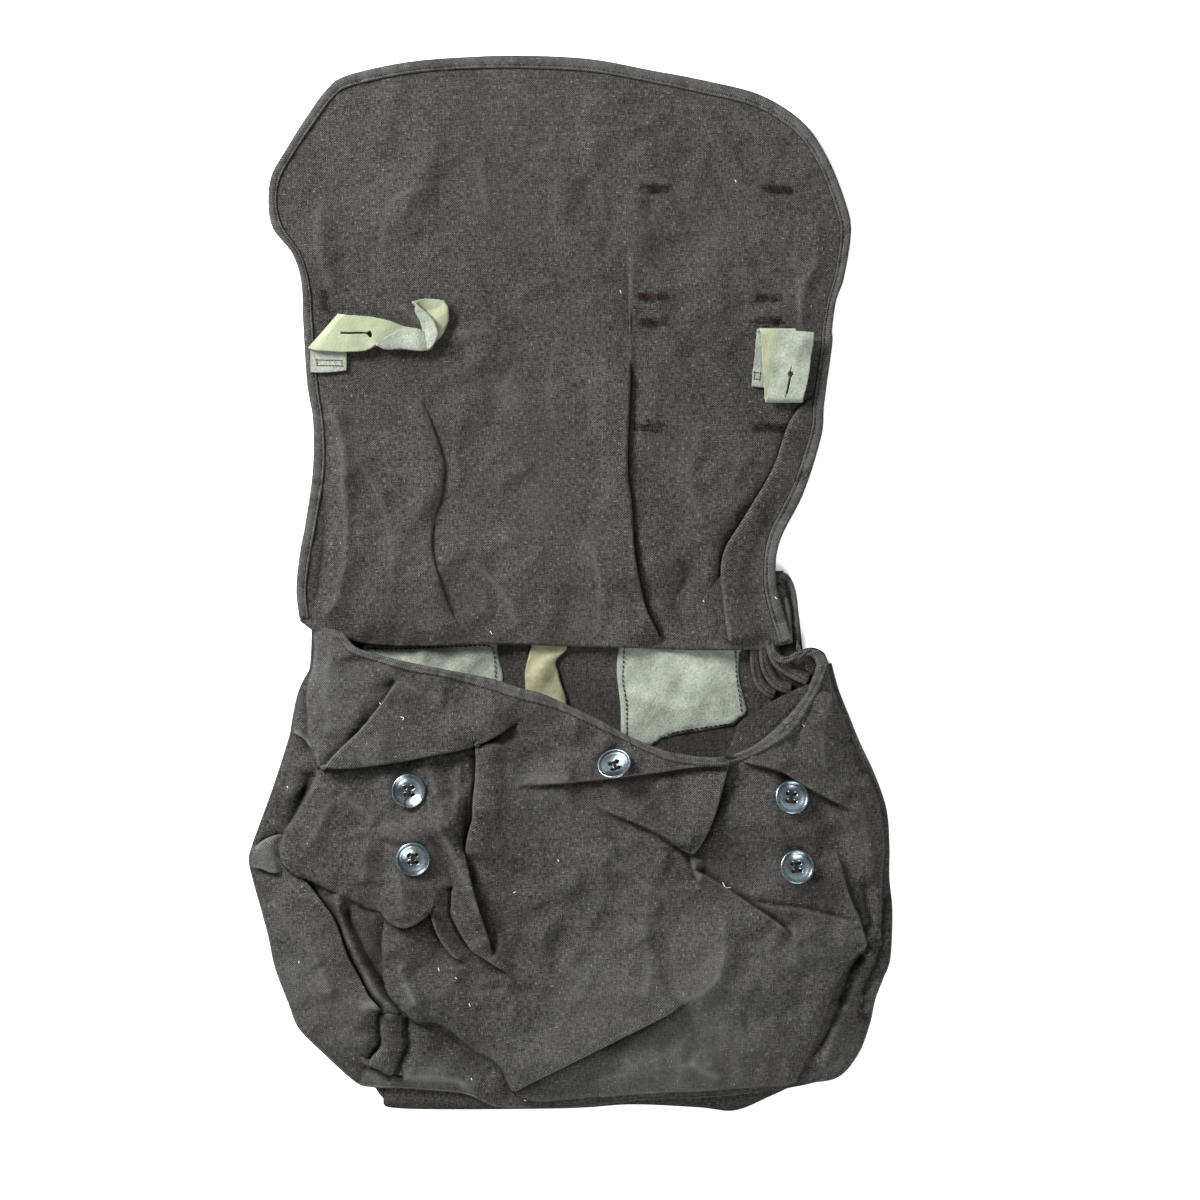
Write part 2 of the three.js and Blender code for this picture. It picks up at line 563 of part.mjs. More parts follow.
function backAndFlap() {
  const bottom = along(backBottom.map(bagPoint), sheetColumns);
  const left = along(backLeft.map(bagPoint), backRows);
  const right = along(backRight.map(bagPoint), backRows);
  const topX = (i) => mix(left.at(-1).x, right.at(-1).x, i / sheetColumns);
  const top = bottom.map((_, i) => new THREE.Vector2(topX(i), bagTop));
  const inBack = (p) => new THREE.Vector3(p.x, p.y - bendRadius, cloth / 2);
  const grid = coons(bottom, top, left, right).map((row) => row.map(inBack));
  const turn = (edge, outward, low) => {
    for (let k = 1; k <= bendSteps; k++) {
      const angle = (Math.PI * k) / bendSteps;
      const bend = (p) => new THREE.Vector3(
        p.x,
        p.y - outward * bendRadius * (1 - Math.sin(angle)),
        low + bendRadius * (1 - Math.cos(angle)),
      );
      grid.push(edge.map(bend));
    }
  };
  const layer = (share) => foldEdge.map((p, i) => new THREE.Vector3(
    mix(top[i].x, p.x, share),
    mix(top[i].y - bendRadius, p.y + bendRadius, share),
    cloth / 2 + 2 * bendRadius,
  ));
  turn(top, 1, cloth / 2);
  grid.push(layer(0.5), layer(1));
  turn(foldEdge, -1, cloth / 2 + 2 * bendRadius);
  const flap = coons(foldEdge, flapTipEdge, flapLeftEdge, flapRightEdge);
  const inFlap = (p) => new THREE.Vector3(p.x, p.y + bendRadius, flapHeight(p.x, p.y));
  for (const row of flap.slice(1)) grid.push(row.map(inFlap));
  return sheetGeometry(grid, cloth);
}
add("back_and_flap", backAndFlap(), canvas);

// Heights for a strip that lies on some pieces between two lines, no lower than a given height.
const hemProbe = 2.5;
function restHeights(names, left, right, least) {
  const tops = left.map((p, i) => {
    const middle = p.clone().lerp(right[i], 0.5);
    const radius = Math.max(hemProbe, p.distanceTo(right[i]) / 2);
    return Math.max(least, topOver(names, middle.x, middle.y, radius));
  });
  return tops.map((z, i) => Math.max(z, tops[i - 1] ?? z, tops[i + 1] ?? z) + clearance);
}

const lifted = (p) => new THREE.Vector2(p.x, p.y + bendRadius);
const flapEdge = [...flapLeftEdge, ...flapTipEdge.slice(1, -1), ...flapRightEdge.slice().reverse()];
function flapHem() {
  const line = flapEdge.slice(1, -1).map(lifted);
  const inner = offsetRight(line, flapHemWidth);
  return rolledStrip(line, inner, restHeights(["back_and_flap"], line, inner, cloth), hemHeight);
}
add("flap_hem", flapHem(), hemCanvas);

// The front panel: its mouth side follows the hem on the left and the turned margin's fold on the right.
const mouthSteps = 26;
const mouthEdge = along(mouthLine.map(bagPoint), mouthSteps);
function frontOutline() {
  const fold = turnedFold.map(bagPoint);
  const reachesFold = (p) => p.x > fold.at(-1).x;
  const hemInner = offsetRight(mouthEdge, -mouthHemWidth).filter((p) => !reachesFold(p));
  return [...frontSides.map(bagPoint), ...hemInner, ...fold.reverse()];
}
add("front_panel", cutSheet(frontOutline(), cloth, gridStep, frontHeight), canvas);

// The margin of the front turned outwards: it lies on the front from its fold to the hem.
const facingSteps = 12;
const facingHeight = (x, y) => topOver(["front_panel"], x, y, gridStep / 2) + clearance;
function mouthFacing() {
  const fold = along(turnedFold.map(bagPoint).reverse(), facingSteps);
  const besideFold = (p) => p.x > fold[0].x && p.x < fold.at(-1).x;
  const hemSide = offsetRight(mouthEdge, -mouthHemWidth - clearance).filter(besideFold);
  const outline = [...fold, ...hemSide.reverse()];
  return cutSheet(outline, cloth, gridStep / 2, facingHeight);
}

// The mouth's hem runs along the lower edge of the opening, round the right corner and back under the flap.
const cornerSteps = 8;
function mouthHem() {
  const corner = along(mouthCorner.map(bagPoint), cornerSteps);
  const line = [...mouthEdge, ...corner.slice(1)];
  const inner = offsetRight(line, -mouthHemWidth);
  const low = restHeights(["front_panel", "back_and_flap"], inner, line, rimHeight);
  return rolledStrip(inner, line, low, hemHeight);
}
add("mouth_hem", mouthHem(), hemCanvas);
add("mouth_facing", mouthFacing(), canvas);

// The gusset: a strip folded double along the bag's edge, its lower layer under the bag, its upper layer rising
// to lie below the front.
const gussetSteps = 50;
const gussetColumns = [0.32, 0.6, 0.82, 1]; // shares of the way from the rim to the inner end
const frontProbe = 7;
const backProbe = 9;
function gusset() {
  const [edges, unders, inners] = ["edge", "under", "inner"].map((key) =>
    along(gussetStations.map((s) => bagPoint(s[key])), gussetSteps),
  );
  const lowAt = (x, y) => {
    const onBack = topOver(["back_and_flap"], x, y, backProbe) > 0;
    return cloth / 2 + (onBack ? cloth + clearance : 0);
  };
  const highAt = (x, y) => {
    const free = puff(x, y) + creaseHeight(gussetFolds, x, y) - cloth / 2;
    return Math.min(free, undersideOver(["front_panel"], x, y, frontProbe) - clearance - cloth / 2);
  };
  const grid = edges.map((edge, i) => {
    const inward = inners[i].clone().sub(edge).normalize();
    const low = lowAt(edge.x, edge.y);
    const radius = (highAt(edge.x, edge.y) - low) / 2;
    const rim = edge.clone().addScaledVector(inward, radius);
    const row = [0, 0.55].map((share) => {
      const p = unders[i].clone().lerp(rim, share);
      return new THREE.Vector3(p.x, p.y, lowAt(p.x, p.y));
    });
    for (let k = 0; k <= bendSteps; k++) {
      const angle = (Math.PI * k) / bendSteps;
      const p = edge.clone().addScaledVector(inward, radius * (1 - Math.sin(angle)));
      row.push(new THREE.Vector3(p.x, p.y, low + radius * (1 - Math.cos(angle))));
    }
    for (const share of gussetColumns) {
      const p = rim.clone().lerp(inners[i], share);
      row.push(new THREE.Vector3(p.x, p.y, highAt(p.x, p.y)));
    }
    return row;
  });
  return sheetGeometry(grid, cloth);
}
add("gusset", gusset(), canvas);

// The hemmed gusset folds nested in the mouth's right corner stand on the back.
const foldSteps = 8;
const foldWidth = 2.4;
for (const [name, { path, rise }] of Object.entries(nestedFolds)) {
  const crest = along(path.map(bagPoint), foldSteps);
  const low = crest.map(() => cloth + clearance);
  add(name, rolledStrip(crest, offsetRight(crest, foldWidth), low, rise * rimHeight), hemCanvas);
}

// The band lies over the gusset, beside the front.
const bandHeight = (x, y) => topOver(["gusset"], x, y, hemProbe) + clearance;
add("corner_band", cutSheet(cornerBand.map(bagPoint), cloth, gridStep / 2, bandHeight), hemCanvas);

// The patches lie flat on the inside of the back.
for (const [name, outline] of Object.entries(patches)) {
  const low = cloth + clearance;
  add(name, geometryOf(prism(outline.map(bagPoint), low, low + patchThickness)), suede);
}

// The strap end arches over the back between the patches.
function innerStrap() {
  const low = cloth + clearance + leather / 2;
  const grid = strapSections.map(({ left, right, rise }) => {
    const a = bagPoint(left);
    const b = bagPoint(right);
    return [0, 0.5, 1].map((share) => {
      const up = low + rise * bagDepth * (0.4 + 1.2 * share * (1 - share));
      return new THREE.Vector3(mix(a.x, b.x, share), mix(a.y, b.y, share), up);
    });
  });
  return sheetGeometry(grid.reverse(), leather);
}
add("inner_strap", innerStrap(), paleLeather);

const layerPitch = 1.25; // doubled leather lies this many thicknesses apart

// A leather tab from its sections, resting on the flap.
function tab({ at, sections }) {
  const foot = flapPoint(at);
  const rests = ["back_and_flap", "flap_hem"];
  const tops = sections.flatMap(({ across }) =>
    across.map(([right, up]) => topOver(rests, foot.x + right * tabWidth, foot.y + up * tabWidth, hemProbe)),
  );
  const base = Math.max(...tops) + clearance;
  const grid = sections.map(({ across }) =>
    across.map(([right, up, rise]) => new THREE.Vector3(
      foot.x + right * tabWidth,
      foot.y + up * tabWidth,
      base + leather / 2 + rise * leather * layerPitch,
    )),
  );
  return sheetGeometry(grid, leather);
}
add("tab_left", tab(leftTab), suede);
add("tab_right", tab(rightTab), suede);

// Dish buttons with four holes, lying on the front.
const buttonSegments = 16;
const buttonHoleSegments = 6;
const buttonProfile = [
  [0, 0.08], [0.7, 0], [1, 0.5], [0.96, 0.95], [0.84, 1], [0.62, 0.66], [0, 0.6],
];
function buttonBlank() {
  const inSize = ([out, up]) => new THREE.Vector2((out * buttonDiameter) / 2, up * buttonHeight);
  const profile = buttonProfile.map(inSize);
  let blank = solid(new THREE.LatheGeometry(profile, buttonSegments).rotateX(Math.PI / 2));
  for (const dx of [-0.5, 0.5])
    for (const dy of [-0.5, 0.5]) {
      const hole = new THREE.CylinderGeometry(
        buttonHoleDiameter / 2, buttonHoleDiameter / 2, 3 * buttonHeight, buttonHoleSegments,
      );
      hole.rotateX(Math.PI / 2).translate(dx * buttonHoleSpacing, dy * buttonHoleSpacing, 0);
      blank = blank.subtract(solid(hole));
    }
  return geometryOf(blank);
}
const blank = buttonBlank();
const discSteps = [-1, -0.75, -0.5, -0.25, 0, 0.25, 0.5, 0.75, 1];
const slopeReach = 0.9; // the cloth's slope under a button is taken this far out, as a share of its radius
const inDisc = ([dx, dy]) => Math.hypot(dx, dy) <= 1;
const disc = discSteps.flatMap((dx) => discSteps.map((dy) => [dx, dy])).filter(inDisc);
for (const [name, { at, tilt }] of Object.entries(buttonPlaces)) {
  const middle = bagPoint(at);
  const radius = buttonDiameter / 2;
  const height = (dx, dy) => topOver(["front_panel"], middle.x + dx * radius, middle.y + dy * radius, 0);
  const span = 2 * slopeReach * radius;
  const slopeX = (height(slopeReach, 0) - height(-slopeReach, 0)) / span;
  const ownTilt = Math.tan(THREE.MathUtils.degToRad(tilt));
  const slopeY = (height(0, slopeReach) - height(0, -slopeReach)) / span + ownTilt;
  const above = disc.map(([dx, dy]) => height(dx, dy) - radius * (slopeX * dx + slopeY * dy));
  const upright = new THREE.Vector3(-slopeX, -slopeY, 1).normalize();
  const turn = new THREE.Quaternion().setFromUnitVectors(straightUp, upright);
  const button = blank.clone().applyQuaternion(turn);
  add(name, button.translate(middle.x, middle.y, Math.max(...above) + clearance), dullMetal);
}

export default bag;
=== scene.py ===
"""A canvas haversack lying open on its back, dressed over its CAD frame.

The flap is thrown up above the mouth and the bag below it is slack and creased. Lengths are metres, +X is to the
right, +Y runs from the bag's bottom to the flap's tip and +Z is up. Places on the cloth are given on a drawing grid
of 1200 by 1200 steps of half a millimetre, counted from its top left corner.
"""
import logging
import math
from dataclasses import dataclass, field
from enum import Enum
from typing import Any, Sequence

import bmesh
import bpy
import numpy as np
from mathutils import Matrix, Vector
from mathutils.bvhtree import BVHTree
from mathutils.geometry import delaunay_2d_cdt


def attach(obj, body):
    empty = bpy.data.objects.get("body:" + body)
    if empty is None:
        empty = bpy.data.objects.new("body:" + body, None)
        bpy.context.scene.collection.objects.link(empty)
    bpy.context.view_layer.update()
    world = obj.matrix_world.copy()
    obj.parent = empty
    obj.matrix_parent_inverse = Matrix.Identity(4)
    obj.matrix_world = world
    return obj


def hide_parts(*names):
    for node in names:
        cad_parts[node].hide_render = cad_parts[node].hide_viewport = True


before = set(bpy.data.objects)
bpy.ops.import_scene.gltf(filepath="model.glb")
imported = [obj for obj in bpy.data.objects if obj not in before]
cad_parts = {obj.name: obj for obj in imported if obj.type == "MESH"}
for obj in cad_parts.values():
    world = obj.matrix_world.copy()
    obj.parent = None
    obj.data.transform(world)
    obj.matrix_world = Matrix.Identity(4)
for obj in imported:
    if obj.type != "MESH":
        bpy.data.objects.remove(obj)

MM = 0.001
GRID = 0.0005
GRID_CENTRE = (570.0, 582.5)
CLOTH = 1.1 * MM
BAG_TOP = 574  # the grid's row of the bag's folded top
MOUTH_ROW = 653  # the last row where the flap's ground lies below the mouth

Places = Sequence[tuple[float, float]]
log = logging.getLogger("haversack")


# ---------------------------------------------------------------- lines and fields


def spots(places: Places) -> np.ndarray:
    """Turns places on the drawing grid into metres.

    Args:
        places: columns and rows of the grid.

    Returns:
        An array of x and y.
    """
    grid = np.asarray(places, float)
    return np.column_stack([grid[:, 0] - GRID_CENTRE[0], GRID_CENTRE[1] - grid[:, 1]]) * GRID


def flowing(points: np.ndarray, step: float | None = None, count: int | None = None) -> np.ndarray:
    """Evenly spaced points on a smooth curve through the given ones.

    Args:
        points: the points that the curve passes, of any dimension.
        step: the distance between the new points.
        count: the number of steps, instead of their length.

    Returns:
        The points of the curve, its ends included.
    """
    ends = np.vstack([2 * points[0] - points[1], points, 2 * points[-1] - points[-2]])
    t = np.linspace(0, 1, 14, endpoint=False)[:, None]
    parts = []
    for a, b, c, d in zip(ends, ends[1:], ends[2:], ends[3:]):
        parts.append(
            0.5 * (2 * b + (c - a) * t + (2 * a - 5 * b + 4 * c - d) * t**2 + (3 * b - a - 3 * c + d) * t**3)
        )
    line = np.vstack([*parts, points[-1:]])
    run = np.r_[0, np.cumsum(np.linalg.norm(np.diff(line, axis=0), axis=1))]
    steps = count or max(2, round(run[-1] / step))
    at = np.linspace(0, run[-1], steps + 1)
    return np.column_stack([np.interp(at, run, line[:, k]) for k in range(line.shape[1])])


def traced(places: Places, step: float | None = None, count: int | None = None) -> np.ndarray:
    """Evenly spaced points on a smooth curve through places on the drawing grid."""
    return flowing(spots(places), step, count)


def ringed(places: Places, step: float) -> np.ndarray:
    """The same for a closed outline, whose first point isn't repeated."""
    return traced([*places, places[0]], step)[:-1]


def boxed(places: Places, steps: int) -> np.ndarray:
    """Follows the straight lines between places on the drawing grid.

    Args:
        places: the corners, the first one again at the end.
        steps: the points on each line.

    Returns:
        The points.
    """
    corners = spots(places)
    share = np.linspace(0, 1, steps)[:, None]
    return np.vstack([a + (b - a) * share for a, b in zip(corners, corners[1:])])


def smooth(t: np.ndarray) -> np.ndarray:
    """A soft ramp from 0 to 1."""
    t = np.clip(t, 0, 1)
    return t * t * (3 - 2 * t)


def bell(distance: np.ndarray, width: float) -> np.ndarray:
    """A soft bump, 1 at no distance and fading over a width."""
    return np.exp(-((distance / width) ** 2))


def leftwards(line: np.ndarray) -> np.ndarray:
    """Looks to the left of a line.

    Args:
        line: its points.

    Returns:
        A unit vector at each point.
    """
    run = np.gradient(line, axis=0)
    run /= np.linalg.norm(run, axis=1)[:, None]
    return np.column_stack([-run[:, 1], run[:, 0]])


def near(line: np.ndarray, xy: np.ndarray) -> tuple[np.ndarray, np.ndarray, np.ndarray]:
    """Measures points against a line.

    Args:
        line: the line's points.
        xy: the points to measure.

    Returns:
        The signed distance, positive on the line's left, the share of the line, and the unit vector to the left.
    """
    start, run = line[:-1], np.diff(line, axis=0)
    length = np.maximum((run**2).sum(1), 1e-18)
    signed, share, left = np.empty(len(xy)), np.empty(len(xy)), np.empty((len(xy), 2))
    for low in range(0, len(xy), 4000):
        part = xy[low : low + 4000]
        away = part[:, None] - start[None]
        t = np.clip((away * run).sum(-1) / length, 0, 1)
        off = away - t[..., None] * run
        square = (off**2).sum(-1)
        k = square.argmin(1)
        rows = np.arange(len(part))
        r, o = run[k], away[rows, k]
        side = np.where(r[:, 0] * o[:, 1] - r[:, 1] * o[:, 0] >= 0, 1.0, -1.0)
        signed[low : low + 4000] = side * np.sqrt(square[rows, k])
        share[low : low + 4000] = (k + t[rows, k]) / len(run)
        unit = r / np.linalg.norm(r, axis=1)[:, None]
        left[low : low + 4000] = np.column_stack([-unit[:, 1], unit[:, 0]])
    return signed, share, left


def off(line: np.ndarray, xy: np.ndarray, closed: bool = False) -> np.ndarray:
    """How far points lie from a line, which may be closed."""
    return np.abs(near(np.vstack([line, line[:1]]) if closed else line, xy)[0])


def inside(outline: np.ndarray, xy: np.ndarray) -> np.ndarray:
    """Tells which points lie within a closed outline.

    Args:
        outline: the outline's corners.
        xy: the points.

    Returns:
        True for each point inside.
    """
    found = np.zeros(len(xy), bool)
    for (ax, ay), (bx, by) in zip(outline, np.roll(outline, -1, axis=0)):
        if ay == by:
            continue
        crosses = (ay > xy[:, 1]) != (by > xy[:, 1])
        found ^= crosses & (xy[:, 0] < (bx - ax) * (xy[:, 1] - ay) / (by - ay) + ax)
    return found


@dataclass
class Crumple:
    """Soft random creasing of cloth, as a field over the plane."""

    seed: int
    octaves: Sequence[tuple[float, float]]  # size of the dents and their height, in millimetres
    sharpness: float = 0.6
    turn: float = 0.45

    def _wave(self, xy: np.ndarray, size: float, rng: np.random.Generator) -> np.ndarray:
        """Gradient noise.

        Args:
            xy: the points.
            size: the size of a cell.
            rng: the source of its directions.

        Returns:
            A value from about -0.7 to 0.7 for each point.
        """
        angle = rng.uniform(0, 2 * math.pi, (128, 128))
        c, s = math.cos(self.turn), math.sin(self.turn)
        p = np.column_stack([xy[:, 0] * c - xy[:, 1] * s, xy[:, 0] * s + xy[:, 1] * c]) / size + 64
        cell = np.floor(p).astype(int)
        f = p - cell
        fade = f**3 * (f * (f * 6 - 15) + 10)
        total = 0.0
        for dx in (0, 1):
            for dy in (0, 1):
                a = angle[(cell[:, 0] + dx) % 128, (cell[:, 1] + dy) % 128]
                dot = np.cos(a) * (f[:, 0] - dx) + np.sin(a) * (f[:, 1] - dy)
                wx = fade[:, 0] if dx else 1 - fade[:, 0]
                wy = fade[:, 1] if dy else 1 - fade[:, 1]
                total = total + dot * wx * wy
        return total

    def lift(self, xy: np.ndarray) -> np.ndarray:
        """Gives the creasing's height.

        Args:
            xy: the points.

        Returns:
            The height at each point.
        """
        rng = np.random.default_rng(self.seed)
        total = np.zeros(len(xy))
        for size, height in self.octaves:
            size, height = size * MM, height * MM
            wave = self._wave(xy, size, rng)
            crease = 0.35 - np.abs(self._wave(xy, size * 1.3, rng)) * 2.2
            total += height * ((1 - self.sharpness) * wave * 1.8 + self.sharpness * crease)
        return total


class Kind(Enum):
    """How the cloth goes over a fold line."""

    LAP = "lap"  # the left side lies over the right side
    RIDGE = "ridge"
    VALLEY = "valley"


@dataclass(frozen=True)
class Fold:
    """A fold of the cloth along a line on the drawing grid. Lengths are in millimetres."""

    places: tuple
    kind: Kind
    rise: float
    reach: float
    dip: float = 0.8
    lean: float = 0.8
    fade: tuple = (0.1, 0.1)
    worn: float = 0.35
    round: float = 1.8


@dataclass(frozen=True)
class FadeAndShadeSpot:
    """A faded spot on the drawing grid: its middle, its reach and how pale it is. A negative amount paints shade into
    the spot instead.
    """

    column: float
    row: float
    reach: float
    amount: float


ROWS = {
    Kind.LAP: (-3.4, -2.0, -1.1, -0.5, -0.1, 0.25, 0.7, 1.3, 2.1, 3.2),
    Kind.RIDGE: (-2.4, -1.1, 0.0, 1.1, 2.4),
    Kind.VALLEY: (-2.4, -1.1, 0.0, 1.1, 2.4),
}
SHARP_RISE = 1.2  # millimetres; lower folds need no rows of points of their own


@dataclass
class Relief:
    """All the folds of one sheet of cloth."""

    folds: Sequence[Fold]
    faded: Sequence[FadeAndShadeSpot] = ()
    lines: list = field(default_factory=list)

    def __post_init__(self) -> None:
        """Lays the fold lines out."""
        self.lines = [traced(f.places, 2.5 * MM) for f in self.folds]

    def shape(self, xy: np.ndarray) -> tuple[np.ndarray, np.ndarray, np.ndarray]:
        """Works the folds out at some points.

        Args:
            xy: the points.

        Returns:
            The height, the sideways shift and the wear of the cloth at each point; the wear is negative where shade is
            painted under laps and into narrow valleys.
        """
        lift, push, worn = np.zeros(len(xy)), np.zeros((len(xy), 2)), np.zeros(len(xy))
        for fold, line in zip(self.folds, self.lines):
            reach = fold.reach * MM
            margin = 2.6 * reach + 8 * MM
            low, high = line.min(0) - margin, line.max(0) + margin
            pick = np.flatnonzero(((xy > low) & (xy < high)).all(1))
            if not len(pick):
                continue
            s, share, left = near(line, xy[pick])
            start, end = fold.fade
            taper = smooth(share / max(start, 1e-3)) * smooth((1 - share) / max(end, 1e-3))
            rise = fold.rise * (1.35 if fold.kind is Kind.LAP else 1.9) * MM
            if fold.kind is Kind.LAP:
                turn = np.clip((s + 0.4 * MM) / (fold.round * MM), 0, 1)
                step = np.sqrt(1 - (1 - turn) ** 2)
                high_side = rise * bell(np.maximum(s, 0), reach)
                low_side = -1.7 * fold.dip * MM * bell(np.minimum(s, 0), 3.6 * MM)
                height = low_side + (high_side - low_side) * step
                shift = bell(s - 0.9 * MM, 2.2 * MM) * smooth((s + 0.3 * MM) / (0.9 * MM))
                push[pick] -= left * (fold.lean * MM * shift * taper)[:, None]
                worn[pick] += fold.worn * taper * bell(s - 0.5 * MM, 1.1 * MM)
                # Painted shade: the low side just under the lap's edge is drawn towards the near black crease colour.
                worn[pick] -= 0.95 * min(1.0, fold.rise / 3.0) * taper * bell(s + 1.2 * MM, 1.2 * MM)
            else:
                tip = 1.3 * MM
                slope = np.exp(-(np.sqrt(s**2 + tip**2) - tip) / reach)
                height = rise * slope * (1 if fold.kind is Kind.RIDGE else -1)
                spread = taper * bell(s, 1.4 * MM)
                if fold.kind is Kind.RIDGE:
                    worn[pick] += 0.7 * fold.worn * spread
                # Painted shade: the floor of a narrow valley is drawn towards the near black crease colour.
                elif fold.reach < 4.5:
                    worn[pick] -= 0.9 * min(1.0, fold.rise / 2.0) * spread
            lift[pick] += height * taper
        for spot in self.faded:
            away = np.linalg.norm(xy - spots([(spot.column, spot.row)]), axis=1)
            worn += spot.amount * bell(away, spot.reach * GRID)
        return lift, push, worn

    def rows(self, step: float) -> np.ndarray:
        """Points in rows along the sharper folds.

        Args:
            step: the distance between the points of a row.

        Returns:
            The points.
        """
        parts = [np.empty((0, 2))]
        for fold, line in zip(self.folds, self.lines):
            if fold.rise < SHARP_RISE:
                continue
            dense = flowing(line, step=step)
            parts += [dense + leftwards(dense) * offset * MM for offset in ROWS[fold.kind]]
        return np.vstack(parts)


# ---------------------------------------------------------------- meshes


@dataclass
class Skin:
    """An open surface: its points, its faces, its cloth coordinates and its wear, which is negative where shade is
    painted into creases.
    """

    points: np.ndarray
    faces: np.ndarray
    cloth: np.ndarray
    worn: np.ndarray

    def joined(self, other: "Skin") -> "Skin":
        """Joins another skin to this one where their points meet.

        Args:
            other: the other skin, with faces of as many corners.

        Returns:
            One skin.
        """
        points = np.vstack([self.points, other.points])
        faces = np.vstack([self.faces, other.faces + len(self.points)])
        _, first, back = np.unique(
            np.round(points / (0.01 * MM)).astype(np.int64), axis=0, return_index=True, return_inverse=True
        )
        faces = back.reshape(-1)[faces]
        faces = faces[[len(set(face)) == len(face) for face in faces.tolist()]]
        return Skin(
            points[first], faces, np.vstack([self.cloth, other.cloth])[first], np.r_[self.worn, other.worn][first]
        )


def draped(
    flat: np.ndarray, faces: np.ndarray, height: np.ndarray, worn: np.ndarray, push: np.ndarray | float = 0.0
) -> Skin:
    """A skin of flat cloth that is lifted to its heights and pushed sideways."""
    return Skin(np.column_stack([flat + push, height]), faces, flat, worn)


@dataclass
class Courses:
    """Rows of points that make an open skin, row after row."""

    points: list = field(default_factory=list)
    cloth: list = field(default_factory=list)
    worn: list = field(default_factory=list)

    def add(self, flat: np.ndarray, height: Any, worn: Any, cloth: np.ndarray | None = None) -> None:
        """Adds a row.

        Args:
            flat: the row's places.
            height: its height, one for all or one for each point.
            worn: its wear, likewise.
            cloth: its cloth coordinates, unless they are the places.
        """
        level = np.zeros(len(flat))
        self.points.append(np.column_stack([flat, level + height]))
        self.cloth.append(flat if cloth is None else cloth)
        self.worn.append(level + worn)

    def skin(self) -> Skin:
        """Makes the skin, in triangles."""
        faces = triangles(grid_faces(len(self.points), len(self.points[0])))
        return Skin(np.vstack(self.points), faces, np.vstack(self.cloth), np.hstack(self.worn))


def walls(faces: np.ndarray, count: int) -> np.ndarray:
    """Makes the walls that close a skin round its open edges.

    Args:
        faces: the skin's faces.
        count: how many points lie between a point and its copy on the other side.

    Returns:
        Quads.
    """
    corners = faces.shape[1]
    edges = np.vstack([faces[:, [k, (k + 1) % corners]] for k in range(corners)])
    low, high = edges.min(1).astype(np.int64), edges.max(1).astype(np.int64)
    _, where, times = np.unique(low * count + high, return_index=True, return_counts=True)
    rim = edges[where[times == 1]]
    return np.column_stack([rim[:, 1], rim[:, 0], rim[:, 0] + count, rim[:, 1] + count])


def trimmed(faces: np.ndarray, *values: np.ndarray) -> tuple[np.ndarray, ...]:
    """Drops what belongs to points that no face uses.

    Args:
        faces: the faces.
        *values: arrays with an entry for each point.

    Returns:
        The faces with the new numbers, and the arrays' remaining entries.
    """
    used = np.unique(faces)
    new = np.full(len(values[0]), -1)
    new[used] = np.arange(len(used))
    return new[faces], *(v[used] for v in values)


def triangles(grid_faces: np.ndarray) -> np.ndarray:
    """Splits quads into triangles."""
    return np.vstack([grid_faces[:, [0, 1, 2]], grid_faces[:, [0, 2, 3]]])


def grid_faces(rows: int, columns: int, closed: bool = False) -> np.ndarray:
    """Quads of a grid of points.

    Args:
        rows: the number of rows.
        columns: the number of columns.
        closed: joins the last column to the first.

    Returns:
        The quads, facing up where columns run to the right and rows run up.
    """
    i = np.arange(rows - 1)[:, None] * columns
    j = np.arange(columns if closed else columns - 1)[None]
    k = (j + 1) % columns
    return np.stack([i + j, i + k, i + k + columns, i + j + columns], -1).reshape(-1, 4)


def normals(points: np.ndarray, faces: np.ndarray) -> np.ndarray:
    """Averages the faces' normals at each point.

    Args:
        points: the points.
        faces: triangles or quads.

    Returns:
        A unit normal for each point.
    """
    a, b, c = points[faces[:, 0]], points[faces[:, 1]], points[faces[:, 2]]
    own = np.cross(b - a, c - a)
    total = np.zeros_like(points)
    for k in range(faces.shape[1]):
        np.add.at(total, faces[:, k], own)
    return total / np.maximum(np.linalg.norm(total, axis=1), 1e-15)[:, None]


def mesh_piece(
    name: str,
    points: np.ndarray,
    faces: Sequence,
    materials: Sequence[bpy.types.Material],
    cloth: np.ndarray | None = None,
    worn: np.ndarray | None = None,
    which: np.ndarray | None = None,
) -> bpy.types.Object:
    """Makes an object of a closed mesh.

    Args:
        name: the object's name.
        points: its points.
        faces: its faces.
        materials: its materials.
        cloth: the cloth coordinates of each point, in metres.
        worn: how faded each point is; negative values paint shade into creases.
        which: the material of each face.

    Returns:
        The new object.
    """
    mesh = bpy.data.meshes.new(name)
    mesh.from_pydata(points.tolist(), [], [list(map(int, f)) for f in faces])
    for material in materials:
        mesh.materials.append(material)
    mesh.polygons.foreach_set("use_smooth", [True] * len(mesh.polygons))
    if which is not None:
        mesh.polygons.foreach_set("material_index", which.astype(np.int32))
    corner = np.empty(len(mesh.loops), np.int32)
    mesh.loops.foreach_get("vertex_index", corner)
    flat = points[:, :2] if cloth is None else cloth
    layer = mesh.uv_layers.new(name="cloth")
    layer.data.foreach_set("uv", flat[corner].astype(np.float32).ravel())
    # The attribute holds the wear and, where it is negative, the painted shade of creases.
    wear = mesh.attributes.new("wear", "FLOAT", "POINT")
    wear.data.foreach_set("value", (np.zeros(len(points)) if worn is None else worn).astype(np.float32))
    mesh.update()
    piece = bpy.data.objects.new(name, mesh)
    bpy.context.scene.collection.objects.link(piece)
    return piece


